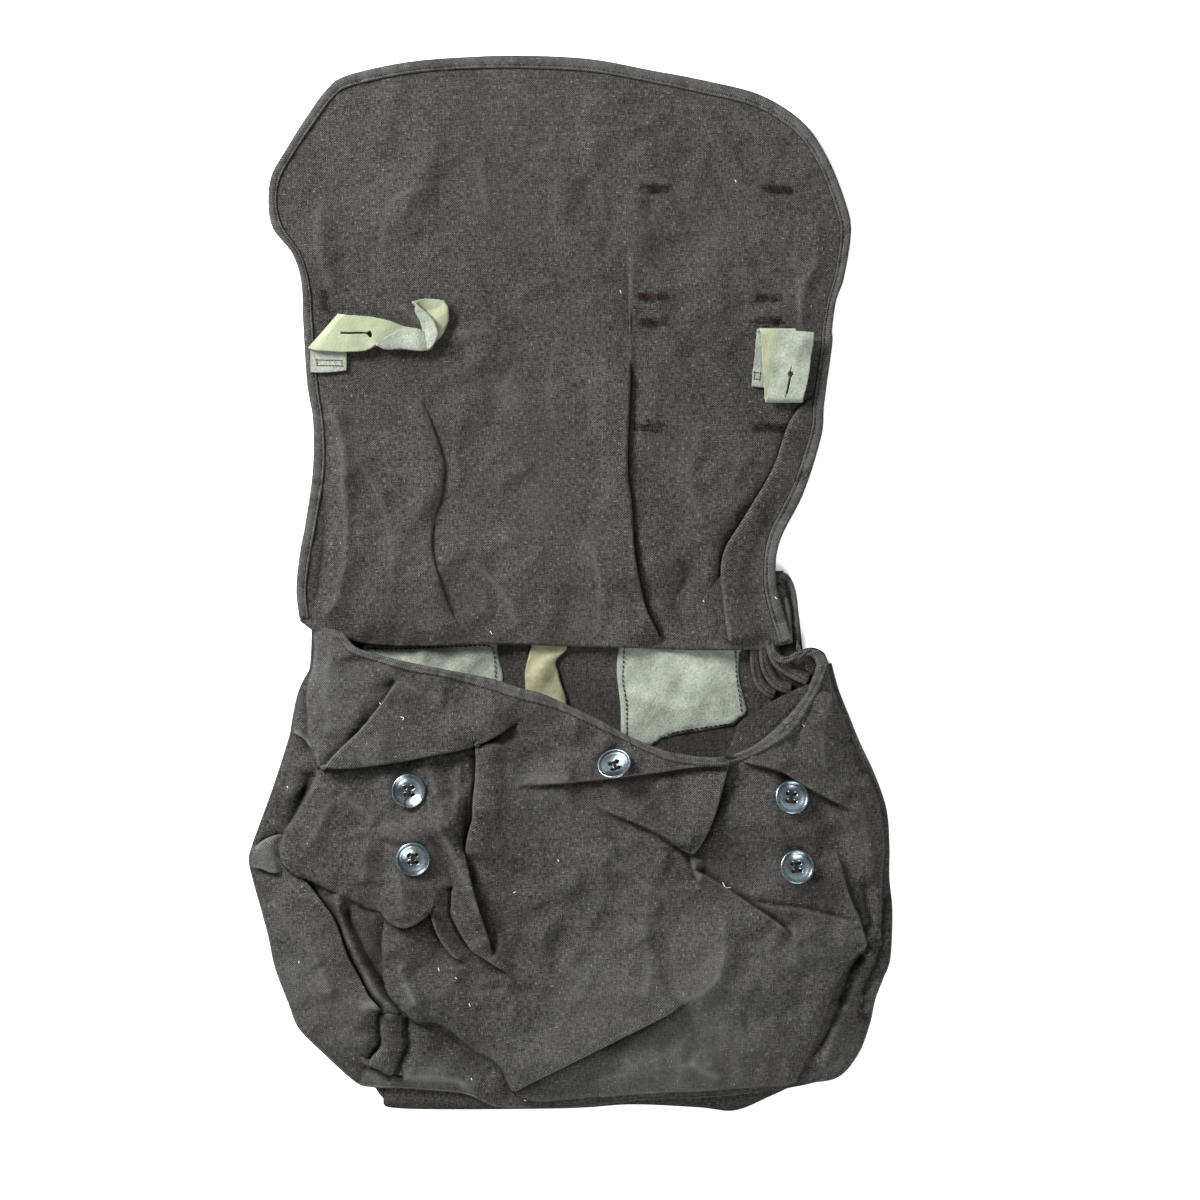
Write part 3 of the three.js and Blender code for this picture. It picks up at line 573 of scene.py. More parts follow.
def closed_sheet(
    name: str, skin: Skin, thickness: float, *materials: bpy.types.Material, share: float = 1.0
) -> bpy.types.Object:
    """Gives a skin its thickness and closes it.

    Args:
        name: the object's name.
        skin: the surface.
        thickness: the thickness of the cloth.
        *materials: one for both faces, or one for the skin's own side and one for the other.
        share: how much of the thickness lies behind the skin.

    Returns:
        The new object.
    """
    up = normals(skin.points, skin.faces)
    front = skin.points + up * thickness * (1 - share)
    back = skin.points - up * thickness * share
    count = len(skin.points)
    sides = walls(skin.faces, count)
    faces = [*skin.faces.tolist(), *(skin.faces[:, ::-1] + count).tolist(), *sides.tolist()]
    which = None
    if len(materials) > 1:
        which = np.r_[np.zeros(len(skin.faces)), np.ones(len(skin.faces) + len(sides))]
    return mesh_piece(
        name,
        np.vstack([front, back]),
        faces,
        materials,
        np.vstack([skin.cloth, skin.cloth]),
        np.r_[skin.worn, skin.worn],
        which,
    )


def cut_cloth(
    outline: np.ndarray, spacing: float, extra: np.ndarray | None = None, clear: float = MM
) -> tuple[np.ndarray, np.ndarray]:
    """Divides the inside of an outline into triangles.

    Args:
        outline: the outline's points, closed.
        spacing: the distance between the points of the fill.
        extra: further points, such as the rows along folds.
        clear: how far the fill stays from the extra points.

    Returns:
        The points, the outline's first, and the triangles, which face up.
    """
    low, high = outline.min(0), outline.max(0)
    ys = np.arange(low[1], high[1], spacing * 0.866)
    xs = np.arange(low[0], high[0], spacing)
    fill = np.vstack([np.column_stack([xs + (i % 2) * spacing / 2, np.full(len(xs), y)]) for i, y in enumerate(ys)])
    if extra is not None:
        extra = extra[inside(outline, extra)]
        extra = extra[off(outline, extra, closed=True) > 0.5 * clear]
        taken = set()
        for dx in (-1, 0, 1):
            for dy in (-1, 0, 1):
                taken |= set(map(tuple, (np.floor(extra / clear).astype(int) + (dx, dy)).tolist()))
        cells = map(tuple, np.floor(fill / clear).astype(int).tolist())
        fill = fill[np.array([cell not in taken for cell in cells])]
    fill = fill[inside(outline, fill)]
    fill = fill[off(outline, fill, closed=True) > 0.55 * spacing]
    ring = len(outline)
    every = [Vector(p) for p in np.vstack([outline, fill] if extra is None else [outline, extra, fill])]
    made = delaunay_2d_cdt(every, [], [list(range(ring))], 1, 1e-7, True)
    points = np.array([tuple(v) for v in made[0]])
    faces = np.array(made[2])
    faces = faces[inside(outline, points[faces].mean(1))]
    a, b, c = (points[faces[:, k]] for k in range(3))
    turned = (b[:, 0] - a[:, 0]) * (c[:, 1] - a[:, 1]) - (b[:, 1] - a[:, 1]) * (c[:, 0] - a[:, 0]) < 0
    faces[turned] = faces[turned][:, ::-1]
    return points, faces


class Ground:
    """Finds the top of what already lies under a place."""

    def __init__(self, *pieces: bpy.types.Object) -> None:
        """Takes the pieces to probe."""
        self.trees = [
            BVHTree.FromPolygons([tuple(v.co) for v in p.data.vertices], [tuple(f.vertices) for f in p.data.polygons])
            for p in pieces
        ]

    def top(self, xy: np.ndarray, otherwise: float = 0.0) -> np.ndarray:
        """Gives the height of the highest surface.

        Args:
            xy: the places.
            otherwise: the height where nothing lies.

        Returns:
            The heights.
        """
        found = np.full(len(xy), otherwise)
        for k, (x, y) in enumerate(xy):
            for tree in self.trees:
                hit = tree.ray_cast(Vector((x, y, 0.2)), Vector((0, 0, -1)))[0]
                if hit is not None:
                    found[k] = max(found[k], hit.z)
        return found


# ---------------------------------------------------------------- finishes


class Board:
    """A node tree that is being laid out."""

    def __init__(self, tree: bpy.types.NodeTree) -> None:
        """Starts on a tree."""
        self.tree = tree

    def feed(self, node: bpy.types.Node, inputs: dict) -> None:
        """Fills a node's inputs.

        Args:
            node: the node.
            inputs: a value or a socket for each named or numbered input.
        """
        for key, value in inputs.items():
            if isinstance(value, bpy.types.NodeSocket):
                self.tree.links.new(value, node.inputs[key])
            else:
                node.inputs[key].default_value = value

    def add(self, kind: str, inputs: dict | None = None, **settings: Any) -> bpy.types.Node:
        """Places a node.

        Args:
            kind: the node's type.
            inputs: a value or a socket for each named or numbered input.
            **settings: the node's own properties.

        Returns:
            The node.
        """
        node = self.tree.nodes.new(kind)
        for key, value in settings.items():
            setattr(node, key, value)
        self.feed(node, inputs or {})
        return node

    def sum(self, operation: str, *terms: Any, clamp: bool = False) -> bpy.types.NodeSocket:
        """Places a Math node and gives its result."""
        return self.add("ShaderNodeMath", dict(enumerate(terms)), operation=operation, use_clamp=clamp).outputs[0]

    def plus(self, first: Any, second: Any) -> bpy.types.NodeSocket:
        """Adds two values."""
        return self.sum("ADD", first, second)

    def times(self, first: Any, second: Any, clamp: bool = False) -> bpy.types.NodeSocket:
        """Multiplies two values."""
        return self.sum("MULTIPLY", first, second, clamp=clamp)

    def blend(self, share: Any, first: Any, second: Any, how: str = "MIX") -> bpy.types.NodeSocket:
        """Mixes two colours.

        Args:
            share: how much of the second.
            first: a colour or a socket.
            second: likewise.
            how: the way of mixing.

        Returns:
            The socket of the result.
        """
        node = self.add("ShaderNodeMix", data_type="RGBA", blend_type=how)
        first, second = ((*c, 1.0) if isinstance(c, tuple) else c for c in (first, second))
        self.feed(node, {0: share, 6: first, 7: second})
        return node.outputs[2]

    def toned(self, colour: Any, factor: Any) -> bpy.types.NodeSocket:
        """Makes a colour lighter or darker by a factor."""
        grey = self.add("ShaderNodeCombineColor", {0: factor, 1: factor, 2: factor}).outputs[0]
        return self.blend(1.0, colour, grey, "MULTIPLY")

    def bump(self, height: Any, strength: float, distance: float, under: Any = None) -> bpy.types.NodeSocket:
        """Turns a height into a normal, over another normal where one is given."""
        inputs = {"Height": height, "Strength": strength, "Distance": distance}
        return self.add("ShaderNodeBump", inputs if under is None else inputs | {"Normal": under}).outputs[0]

    def spread(self, value: Any, low: float, high: float, start: float = 0.0, end: float = 1.0) -> bpy.types.NodeSocket:
        """Maps a value's range onto another and gives the result."""
        ends = {"Value": value, "From Min": low, "From Max": high, "To Min": start, "To Max": end}
        return self.add("ShaderNodeMapRange", ends).outputs[0]

    def noise(self, where: Any, scale: float, detail: float = 2.0, roughness: float = 0.5) -> bpy.types.NodeSocket:
        """Places a noise texture and gives its value."""
        values = {"Vector": where, "Scale": scale, "Detail": detail, "Roughness": roughness}
        return self.add("ShaderNodeTexNoise", values).outputs["Fac"]

    def stretched(self, where: Any, scale: tuple, turn: float = 0.0) -> bpy.types.NodeSocket:
        """Scales and turns a vector and gives the result."""
        values = {"Vector": where, "Scale": scale, "Rotation": (0.0, 0.0, turn)}
        return self.add("ShaderNodeMapping", values).outputs[0]


class Coat(Board):
    """The node tree of a material, laid out round its Principled shader."""

    def __init__(self, name: str) -> None:
        """Starts a material.

        Args:
            name: its name.
        """
        self.material = bpy.data.materials.new(name)
        self.material.use_nodes = True
        super().__init__(self.material.node_tree)
        self.place = self.add("ShaderNodeTexCoord").outputs["Object"]

    def wear(self) -> bpy.types.NodeSocket:
        """Reads how faded the surface is, and where it is negative, the shade painted into creases."""
        return self.add("ShaderNodeAttribute", attribute_name="wear").outputs["Fac"]

    def done(self, inputs: dict) -> bpy.types.Material:
        """Feeds the shader and gives the material."""
        self.feed(self.tree.nodes["Principled BSDF"], inputs)
        return self.material


def shared(name: str, inputs: dict[str, tuple[str, Any]], outputs: dict[str, str]) -> tuple[Board, Any, Any]:
    """Starts a shader node group.

    Args:
        name: the group's name.
        inputs: the socket type and default of each input.
        outputs: the socket type of each output.

    Returns:
        The board of the group, its input node and its output node.
    """
    group = bpy.data.node_groups.new(name, "ShaderNodeTree")
    for label, (kind, value) in inputs.items():
        socket = group.interface.new_socket(name=label, in_out="INPUT", socket_type=kind)
        if value is not None:
            socket.default_value = value
    for label, kind in outputs.items():
        group.interface.new_socket(name=label, in_out="OUTPUT", socket_type=kind)
    board = Board(group)
    return board, board.add("NodeGroupInput"), board.add("NodeGroupOutput")


def weave_group() -> bpy.types.NodeTree:
    """Makes the woven threads that the canvases share.

    Returns:
        A group that turns cloth coordinates into thread heights, pale flecks and darker rows.
    """
    board, given, result = shared(
        "woven_threads",
        {"Cloth": ("NodeSocketVector", None), "Threads": ("NodeSocketFloat", 840.0)},
        {"Height": "NodeSocketFloat", "Flecks": "NodeSocketFloat", "Rows": "NodeSocketFloat"},
    )
    cloth = given.outputs["Cloth"]
    parts = board.add("ShaderNodeSeparateXYZ", {0: cloth})
    wobble = board.noise(cloth, 160.0, 1.0)
    across, along = (
        board.plus(board.times(parts.outputs[k], given.outputs["Threads"]), board.times(wobble, sway))
        for k, sway in ((0, 0.5), (1, -0.5))
    )
    warp, weft, twill = (
        board.sum("SINE", board.times(phase, 2 * math.pi))
        for phase in (across, along, board.sum("SUBTRACT", across, along))
    )
    height = board.plus(board.times(board.times(warp, weft), 1.2), board.times(twill, 0.7))
    slubs, long_rows = (
        [board.noise(board.stretched(cloth, (*scale, 1.0)), 1.0, detail) for scale in (scales, scales[::-1])]
        for scales, detail in (((2100.0, 380.0), 1.0), ((900.0, 40.0), 2.0))
    )
    picks = board.sum("MAXIMUM", *(board.spread(s, 0.64, 0.8) for s in slubs))
    flecks = board.times(picks, board.spread(board.noise(cloth, 700.0, 1.0), 0.5, 0.66), clamp=True)
    rows = board.plus(*(board.spread(s, 0.3, 0.7) for s in long_rows))
    short = board.plus(*(board.spread(s, 0.25, 0.75) for s in slubs))
    mixed = board.plus(board.times(rows, 0.1), board.times(short, 0.4))
    board.feed(result, {"Height": board.spread(height, -1.7, 1.7), "Flecks": flecks, "Rows": mixed})
    return board.tree


def blotch_group() -> bpy.types.NodeTree:
    """Makes the fading and the stains that the canvases share.

    Returns:
        A group that turns object coordinates into a fading mask and a stain mask.
    """
    board, given, result = shared(
        "fading_and_stains",
        {"Place": ("NodeSocketVector", None)},
        {"Faded": "NodeSocketFloat", "Stained": "NodeSocketFloat"},
    )
    place = given.outputs["Place"]
    broad = board.spread(board.noise(place, 14.0, 4.0, 0.6), 0.35, 0.7, 0.0, 0.7)
    fine = board.spread(board.noise(place, 70.0, 3.0, 0.6), 0.3, 0.75, 0.0, 0.45)
    stains = board.noise(board.stretched(place, (1.0, 0.8, 1.0), 0.7), 19.0, 3.0, 0.55)
    board.feed(result, {"Faded": board.plus(broad, fine), "Stained": board.spread(stains, 0.55, 0.72)})
    return board.tree


@dataclass(frozen=True)
class Canvas:
    """Faded cotton canvas: its deep, its worn and its stain colour, the near black of the shade painted into its
    creases, and how strongly each shows.
    """

    name: str
    deep: tuple = (0.0205, 0.0195, 0.018)
    pale: tuple = (0.0385, 0.0375, 0.035)
    rub: tuple = (0.088, 0.088, 0.085)
    fleck: tuple = (0.2, 0.2, 0.19)
    stain: tuple = (0.027, 0.02, 0.016)
    # crease: the near black painted into creases, under laps and in recesses as shade
    crease: tuple = (0.004, 0.0036, 0.0033)
    threads: float = 840.0
    roughness: float = 0.93

    def material(self, groups: dict[str, bpy.types.NodeTree]) -> bpy.types.Material:
        """Builds the material.

        Args:
            groups: the shared node groups.

        Returns:
            The material.
        """
        coat = Coat(self.name)
        cloth = coat.add("ShaderNodeUVMap", uv_map="cloth").outputs[0]
        threads = coat.add("ShaderNodeGroup", {"Cloth": cloth, "Threads": self.threads}, node_tree=groups["weave"])
        blotches = coat.add("ShaderNodeGroup", {"Place": coat.place}, node_tree=groups["blotch"])
        height, wear = threads.outputs["Height"], coat.wear()
        colour = coat.blend(coat.times(blotches.outputs["Faded"], 0.9), self.deep, self.pale)
        colour = coat.toned(colour, coat.spread(threads.outputs["Rows"], 0.3, 0.7, 0.42, 1.62))
        colour = coat.blend(coat.times(blotches.outputs["Stained"], 0.35), colour, self.stain)
        colour = coat.toned(colour, coat.spread(height, 0.0, 1.0, 0.2, 1.8))
        rubbed = coat.times(wear, coat.spread(height, 0.15, 0.7, 0.35, 1.0), clamp=True)
        colour = coat.blend(rubbed, colour, self.rub)
        colour = coat.blend(coat.times(threads.outputs["Flecks"], 0.8), colour, self.fleck)
        # Painted shade: negative values of the attribute draw the colour towards the near black crease colour.
        colour = coat.blend(coat.times(wear, -0.85, clamp=True), colour, self.crease)
        rough = coat.spread(height, 0.0, 1.0, min(1.0, self.roughness + 0.05), self.roughness - 0.08)
        fine = coat.bump(height, 0.55, 0.00022)
        soft = coat.bump(coat.noise(coat.place, 190.0, 4.0, 0.6), 0.6, 0.001, fine)
        return coat.done({"Base Color": colour, "Roughness": rough, "Specular IOR Level": 0.05, "Normal": soft})


@dataclass(frozen=True)
class Leather:
    """Split leather: a smooth grain side or a suede side."""

    name: str
    colour: tuple
    shade: tuple
    light: tuple
    nap: float  # how strongly the nap shows
    roughness: float

    def material(self) -> bpy.types.Material:
        """Builds the material."""
        coat = Coat(self.name)
        nap = coat.noise(coat.place, 1000.0, 3.0, 0.6)
        clouds = coat.spread(coat.noise(coat.place, 95.0, 5.0, 0.62), 0.4, 0.62)
        dirt = coat.spread(coat.noise(coat.place, 60.0, 3.0), 0.5, 0.68)
        colour = coat.blend(clouds, self.colour, self.light)
        colour = coat.blend(coat.times(dirt, 0.45), colour, self.shade)
        colour = coat.toned(colour, coat.spread(nap, 0.3, 0.7, 1 - 0.27 * self.nap, 1 + 0.22 * self.nap))
        colour = coat.blend(coat.times(coat.wear(), 0.75, clamp=True), colour, self.shade)
        rough = coat.spread(nap, 0.0, 1.0, self.roughness - 0.06, self.roughness + 0.06)
        fine = coat.bump(nap, 0.3 + 0.6 * self.nap, 0.0004)
        soft = coat.bump(coat.noise(coat.place, 180.0, 3.0, 0.55), 0.4, 0.0008, fine)
        gloss = 0.3 - 0.2 * self.nap
        return coat.done({"Base Color": colour, "Roughness": rough, "Specular IOR Level": gloss, "Normal": soft})


@dataclass(frozen=True)
class Aluminium:
    """Pressed aluminium, dulled and finely scratched."""

    name: str = "dull_aluminium"
    colour: tuple = (0.2, 0.245, 0.262)
    tarnish: tuple = (0.07, 0.092, 0.1)
    dark: tuple = (0.02, 0.028, 0.032)

    def material(self) -> bpy.types.Material:
        """Builds the material."""
        coat = Coat(self.name)
        marks = coat.noise(coat.place, 420.0, 4.0, 0.65)
        scratch = coat.noise(coat.stretched(coat.place, (260.0, 2600.0, 260.0), 0.6), 1.0, 2.0)
        colour = coat.blend(coat.spread(marks, 0.45, 0.75), self.colour, self.tarnish)
        colour = coat.blend(coat.times(coat.wear(), 0.8, clamp=True), colour, self.dark)
        rough = coat.spread(coat.plus(marks, scratch), 0.6, 1.4, 0.2, 0.36)
        fine = coat.bump(scratch, 0.12, 0.0001)
        return coat.done({"Base Color": colour, "Metallic": 1.0, "Roughness": rough, "Normal": fine})


@dataclass(frozen=True)
class Thread:
    """Twisted sewing thread."""

    name: str
    colour: tuple
    light: tuple

    def material(self) -> bpy.types.Material:
        """Builds the material."""
        coat = Coat(self.name)
        twist = coat.noise(coat.place, 2600.0, 2.0)
        colour = coat.blend(coat.spread(twist, 0.35, 0.7), self.colour, self.light)
        faded = coat.spread(coat.noise(coat.place, 160.0, 2.0), 0.5, 0.8, 0.0, 0.5)
        colour, fine = coat.blend(faded, colour, self.light), coat.bump(twist, 0.5, 0.0001)
        return coat.done({"Base Color": colour, "Roughness": 0.85, "Specular IOR Level": 0.08, "Normal": fine})


@dataclass(frozen=True)
class Floor:
    """The plain pale floor."""

    name: str = "pale_floor"
    colour: tuple = (0.93, 0.93, 0.92)

    def material(self) -> bpy.types.Material:
        """Builds the material."""
        coat = Coat(self.name)
        tone = coat.spread(coat.noise(coat.place, 3.0, 2.0), 0.3, 0.7)
        glow = {"Emission Color": (1.0, 1.0, 1.0, 1.0), "Emission Strength": 0.28}
        colour = coat.blend(tone, self.colour, (0.95, 0.95, 0.95))
        return coat.done({"Base Color": colour, "Roughness": 1.0, "Specular IOR Level": 0.0} | glow)


class Finishes:
    """Every material of the haversack, made once."""

    def __init__(self) -> None:
        """Makes the shared groups and the materials."""
        groups = {"weave": weave_group(), "blotch": blotch_group()}
        canvases = {
            "flap_canvas": Canvas("flap_canvas", (0.0215, 0.02, 0.0178), (0.0355, 0.034, 0.0313)),
            "bag_canvas": Canvas("bag_canvas"),
            "hem_canvas": Canvas("hem_canvas", (0.021, 0.02, 0.0185), (0.038, 0.037, 0.035), (0.085, 0.085, 0.083),
                                 threads=880.0),
            "inner_canvas": Canvas("inner_canvas", (0.02, 0.0175, 0.015), (0.033, 0.03, 0.026),
                                   stain=(0.018, 0.0135, 0.011)),
        }
        made = {name: canvas.material(groups) for name, canvas in canvases.items()}
        self.flap_canvas, self.bag_canvas = made["flap_canvas"], made["bag_canvas"]
        self.hem_canvas, self.inner_canvas = made["hem_canvas"], made["inner_canvas"]
        self.suede = Leather(
            "suede", (0.163, 0.181, 0.148), (0.085, 0.097, 0.08), (0.213, 0.231, 0.188), nap=1.0, roughness=0.95
        ).material()
        self.grain = Leather(
            "smooth_leather", (0.175, 0.19, 0.12), (0.105, 0.11, 0.07), (0.205, 0.222, 0.148), nap=0.2, roughness=0.6
        ).material()
        self.strap = Leather(
            "strap_leather", (0.15, 0.147, 0.082), (0.07, 0.067, 0.037), (0.225, 0.22, 0.14), nap=0.35, roughness=0.6
        ).material()
        self.aluminium = Aluminium().material()
        self.seam = Thread("seam_thread", (0.004, 0.0037, 0.0034), (0.014, 0.013, 0.012)).material()
        self.brown = Thread("brown_thread", (0.0065, 0.004, 0.0025), (0.024, 0.016, 0.011)).material()
        self.lint = Thread("pale_lint", (0.5, 0.5, 0.48), (0.75, 0.75, 0.72)).material()
        self.floor = Floor().material()


# ---------------------------------------------------------------- stitches


@dataclass
class Stitching:
    """Runs of stitches along lines, laid by a node tree."""

    name: str
    material: bpy.types.Material
    pitch: float = 2.6  # millimetres, as the next two
    length: float = 2.0
    width: float = 0.45
    turn: float = 0.0
    wander: float = 0.1
    seed: int = 5

    def _tree(self) -> tuple[bpy.types.NodeTree, dict[str, str]]:
        """Builds the node tree.

        Returns:
            The tree and the identifier of each of its named inputs.
        """
        tree = bpy.data.node_groups.new(self.name + "_stitches", "GeometryNodeTree")
        tree.interface.new_socket(name="Geometry", in_out="OUTPUT", socket_type="NodeSocketGeometry")
        named = {}
        tree.interface.new_socket(name="Geometry", in_out="INPUT", socket_type="NodeSocketGeometry")
        for label in ("Pitch", "Length", "Width", "Turn", "Wander"):
            made = tree.interface.new_socket(name=label, in_out="INPUT", socket_type="NodeSocketFloat")
            named[label] = made.identifier
        made = tree.interface.new_socket(name="Seed", in_out="INPUT", socket_type="NodeSocketInt")
        named["Seed"] = made.identifier
        board = Board(tree)
        given, result = board.add("NodeGroupInput"), board.add("NodeGroupOutput")
        line = board.add("GeometryNodeMeshToCurve", {0: given.outputs["Geometry"]})
        points = board.add("GeometryNodeCurveToPoints", {"Curve": line.outputs[0]}, mode="LENGTH")
        tree.links.new(given.outputs["Pitch"], points.inputs["Length"])
        stitch = board.add("GeometryNodeMeshUVSphere", {"Segments": 6, "Rings": 5, "Radius": 0.5})
        size = board.add("ShaderNodeCombineXYZ", {0: given.outputs["Length"], 1: given.outputs["Width"]})
        tree.links.new(given.outputs["Width"], size.inputs[2])
        sized = board.add("GeometryNodeTransform", {"Geometry": stitch.outputs["Mesh"], "Scale": size.outputs[0]})
        sway = board.add("FunctionNodeRandomValue", {"Seed": given.outputs["Seed"]}, data_type="FLOAT")
        tree.links.new(board.sum("MULTIPLY", given.outputs["Wander"], -1.0), sway.inputs[2])
        tree.links.new(given.outputs["Wander"], sway.inputs[3])
        angle = board.sum("ADD", given.outputs["Turn"], sway.outputs[1])
        local = board.add("ShaderNodeCombineXYZ", {2: angle})
        turned = board.add("FunctionNodeEulerToRotation", {0: local.outputs[0]})
        aligned = board.add("FunctionNodeAlignRotationToVector", {"Vector": points.outputs["Tangent"]}, axis="X")
        both = board.add("FunctionNodeRotateRotation", {0: aligned.outputs[0], 1: turned.outputs[0]})
        both.rotation_space = "LOCAL"
        laid = board.add("GeometryNodeInstanceOnPoints", {"Points": points.outputs["Points"]})
        tree.links.new(sized.outputs[0], laid.inputs["Instance"])
        tree.links.new(both.outputs[0], laid.inputs["Rotation"])
        real = board.add("GeometryNodeRealizeInstances", {0: laid.outputs[0]})
        dyed = board.add("GeometryNodeSetMaterial", {"Geometry": real.outputs[0], "Material": self.material})
        tree.links.new(dyed.outputs[0], result.inputs[0])
        return tree, named

    def sew(self, paths: Sequence[np.ndarray]) -> bpy.types.Object:
        """Lays the stitches.

        Args:
            paths: the lines of the seam, in three dimensions.

        Returns:
            The stitches as one plain mesh.
        """
        points = np.vstack(paths)
        edges, start = [], 0
        for path in paths:
            edges += [(start + k, start + k + 1) for k in range(len(path) - 1)]
            start += len(path)
        guide = bpy.data.meshes.new(self.name + "_line")
        guide.from_pydata(points.tolist(), edges, [])
        piece = bpy.data.objects.new(self.name, guide)
        bpy.context.scene.collection.objects.link(piece)
        tree, named = self._tree()
        modifier = piece.modifiers.new("stitches", "NODES")
        modifier.node_group = tree
        values = {"Pitch": self.pitch * MM, "Length": self.length * MM, "Width": self.width * MM}
        values |= {"Turn": self.turn, "Wander": self.wander, "Seed": self.seed}
        for label, value in values.items():
            modifier[named[label]] = value
        bpy.context.view_layer.update()
        graph = bpy.context.evaluated_depsgraph_get()
        made = bpy.data.meshes.new_from_object(piece.evaluated_get(graph))
        piece.modifiers.clear()
        piece.data = made
        made.polygons.foreach_set("use_smooth", [True] * len(made.polygons))
        if not made.materials:
            made.materials.append(self.material)
        return piece


def tube(name: str, line: np.ndarray, radius: float, material: bpy.types.Material, sides: int = 7) -> bpy.types.Object:
    """Makes a thin closed tube.

    Args:
        name: the object's name.
        line: its middle line.
        radius: its radius.
        material: its material.
        sides: the number of sides.

    Returns:
        The new object.
    """
    run = np.gradient(line, axis=0)
    run /= np.maximum(np.linalg.norm(run, axis=1), 1e-12)[:, None]
    first = np.cross(run, (0.0, 0.0, 1.0))
    weak = np.linalg.norm(first, axis=1) < 0.05
    first[weak] = np.cross(run[weak], (1.0, 0.0, 0.0))
    first /= np.linalg.norm(first, axis=1)[:, None]
    second = np.cross(first, run)
    angles = np.linspace(0, 2 * math.pi, sides, endpoint=False)
    ring = np.stack([first * math.cos(a) + second * math.sin(a) for a in angles], 1)
    points = (line[:, None] + ring * radius).reshape(-1, 3)
    faces = grid_faces(len(line), sides, closed=True)[:, ::-1].tolist()
    faces += [list(range(sides)), [len(points) - 1 - k for k in range(sides)]]
    return mesh_piece(name, points, faces, [material])


def finish_piece(piece: bpy.types.Object, slot: str | None, *nodes: str) -> bpy.types.Object:
    """Lets a piece ride on the bag and stand for its nodes.

    Args:
        piece: the piece.
        slot: the record's material slot, or None; not used.
        *nodes: the CAD nodes that it replaces.

    Returns:
        The piece.
    """
    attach(piece, "root")
    if nodes:
        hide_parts(*nodes)
    log.info("%s: %d faces", piece.name, len(piece.data.polygons))
    return piece


# ---------------------------------------------------------------- the haversack


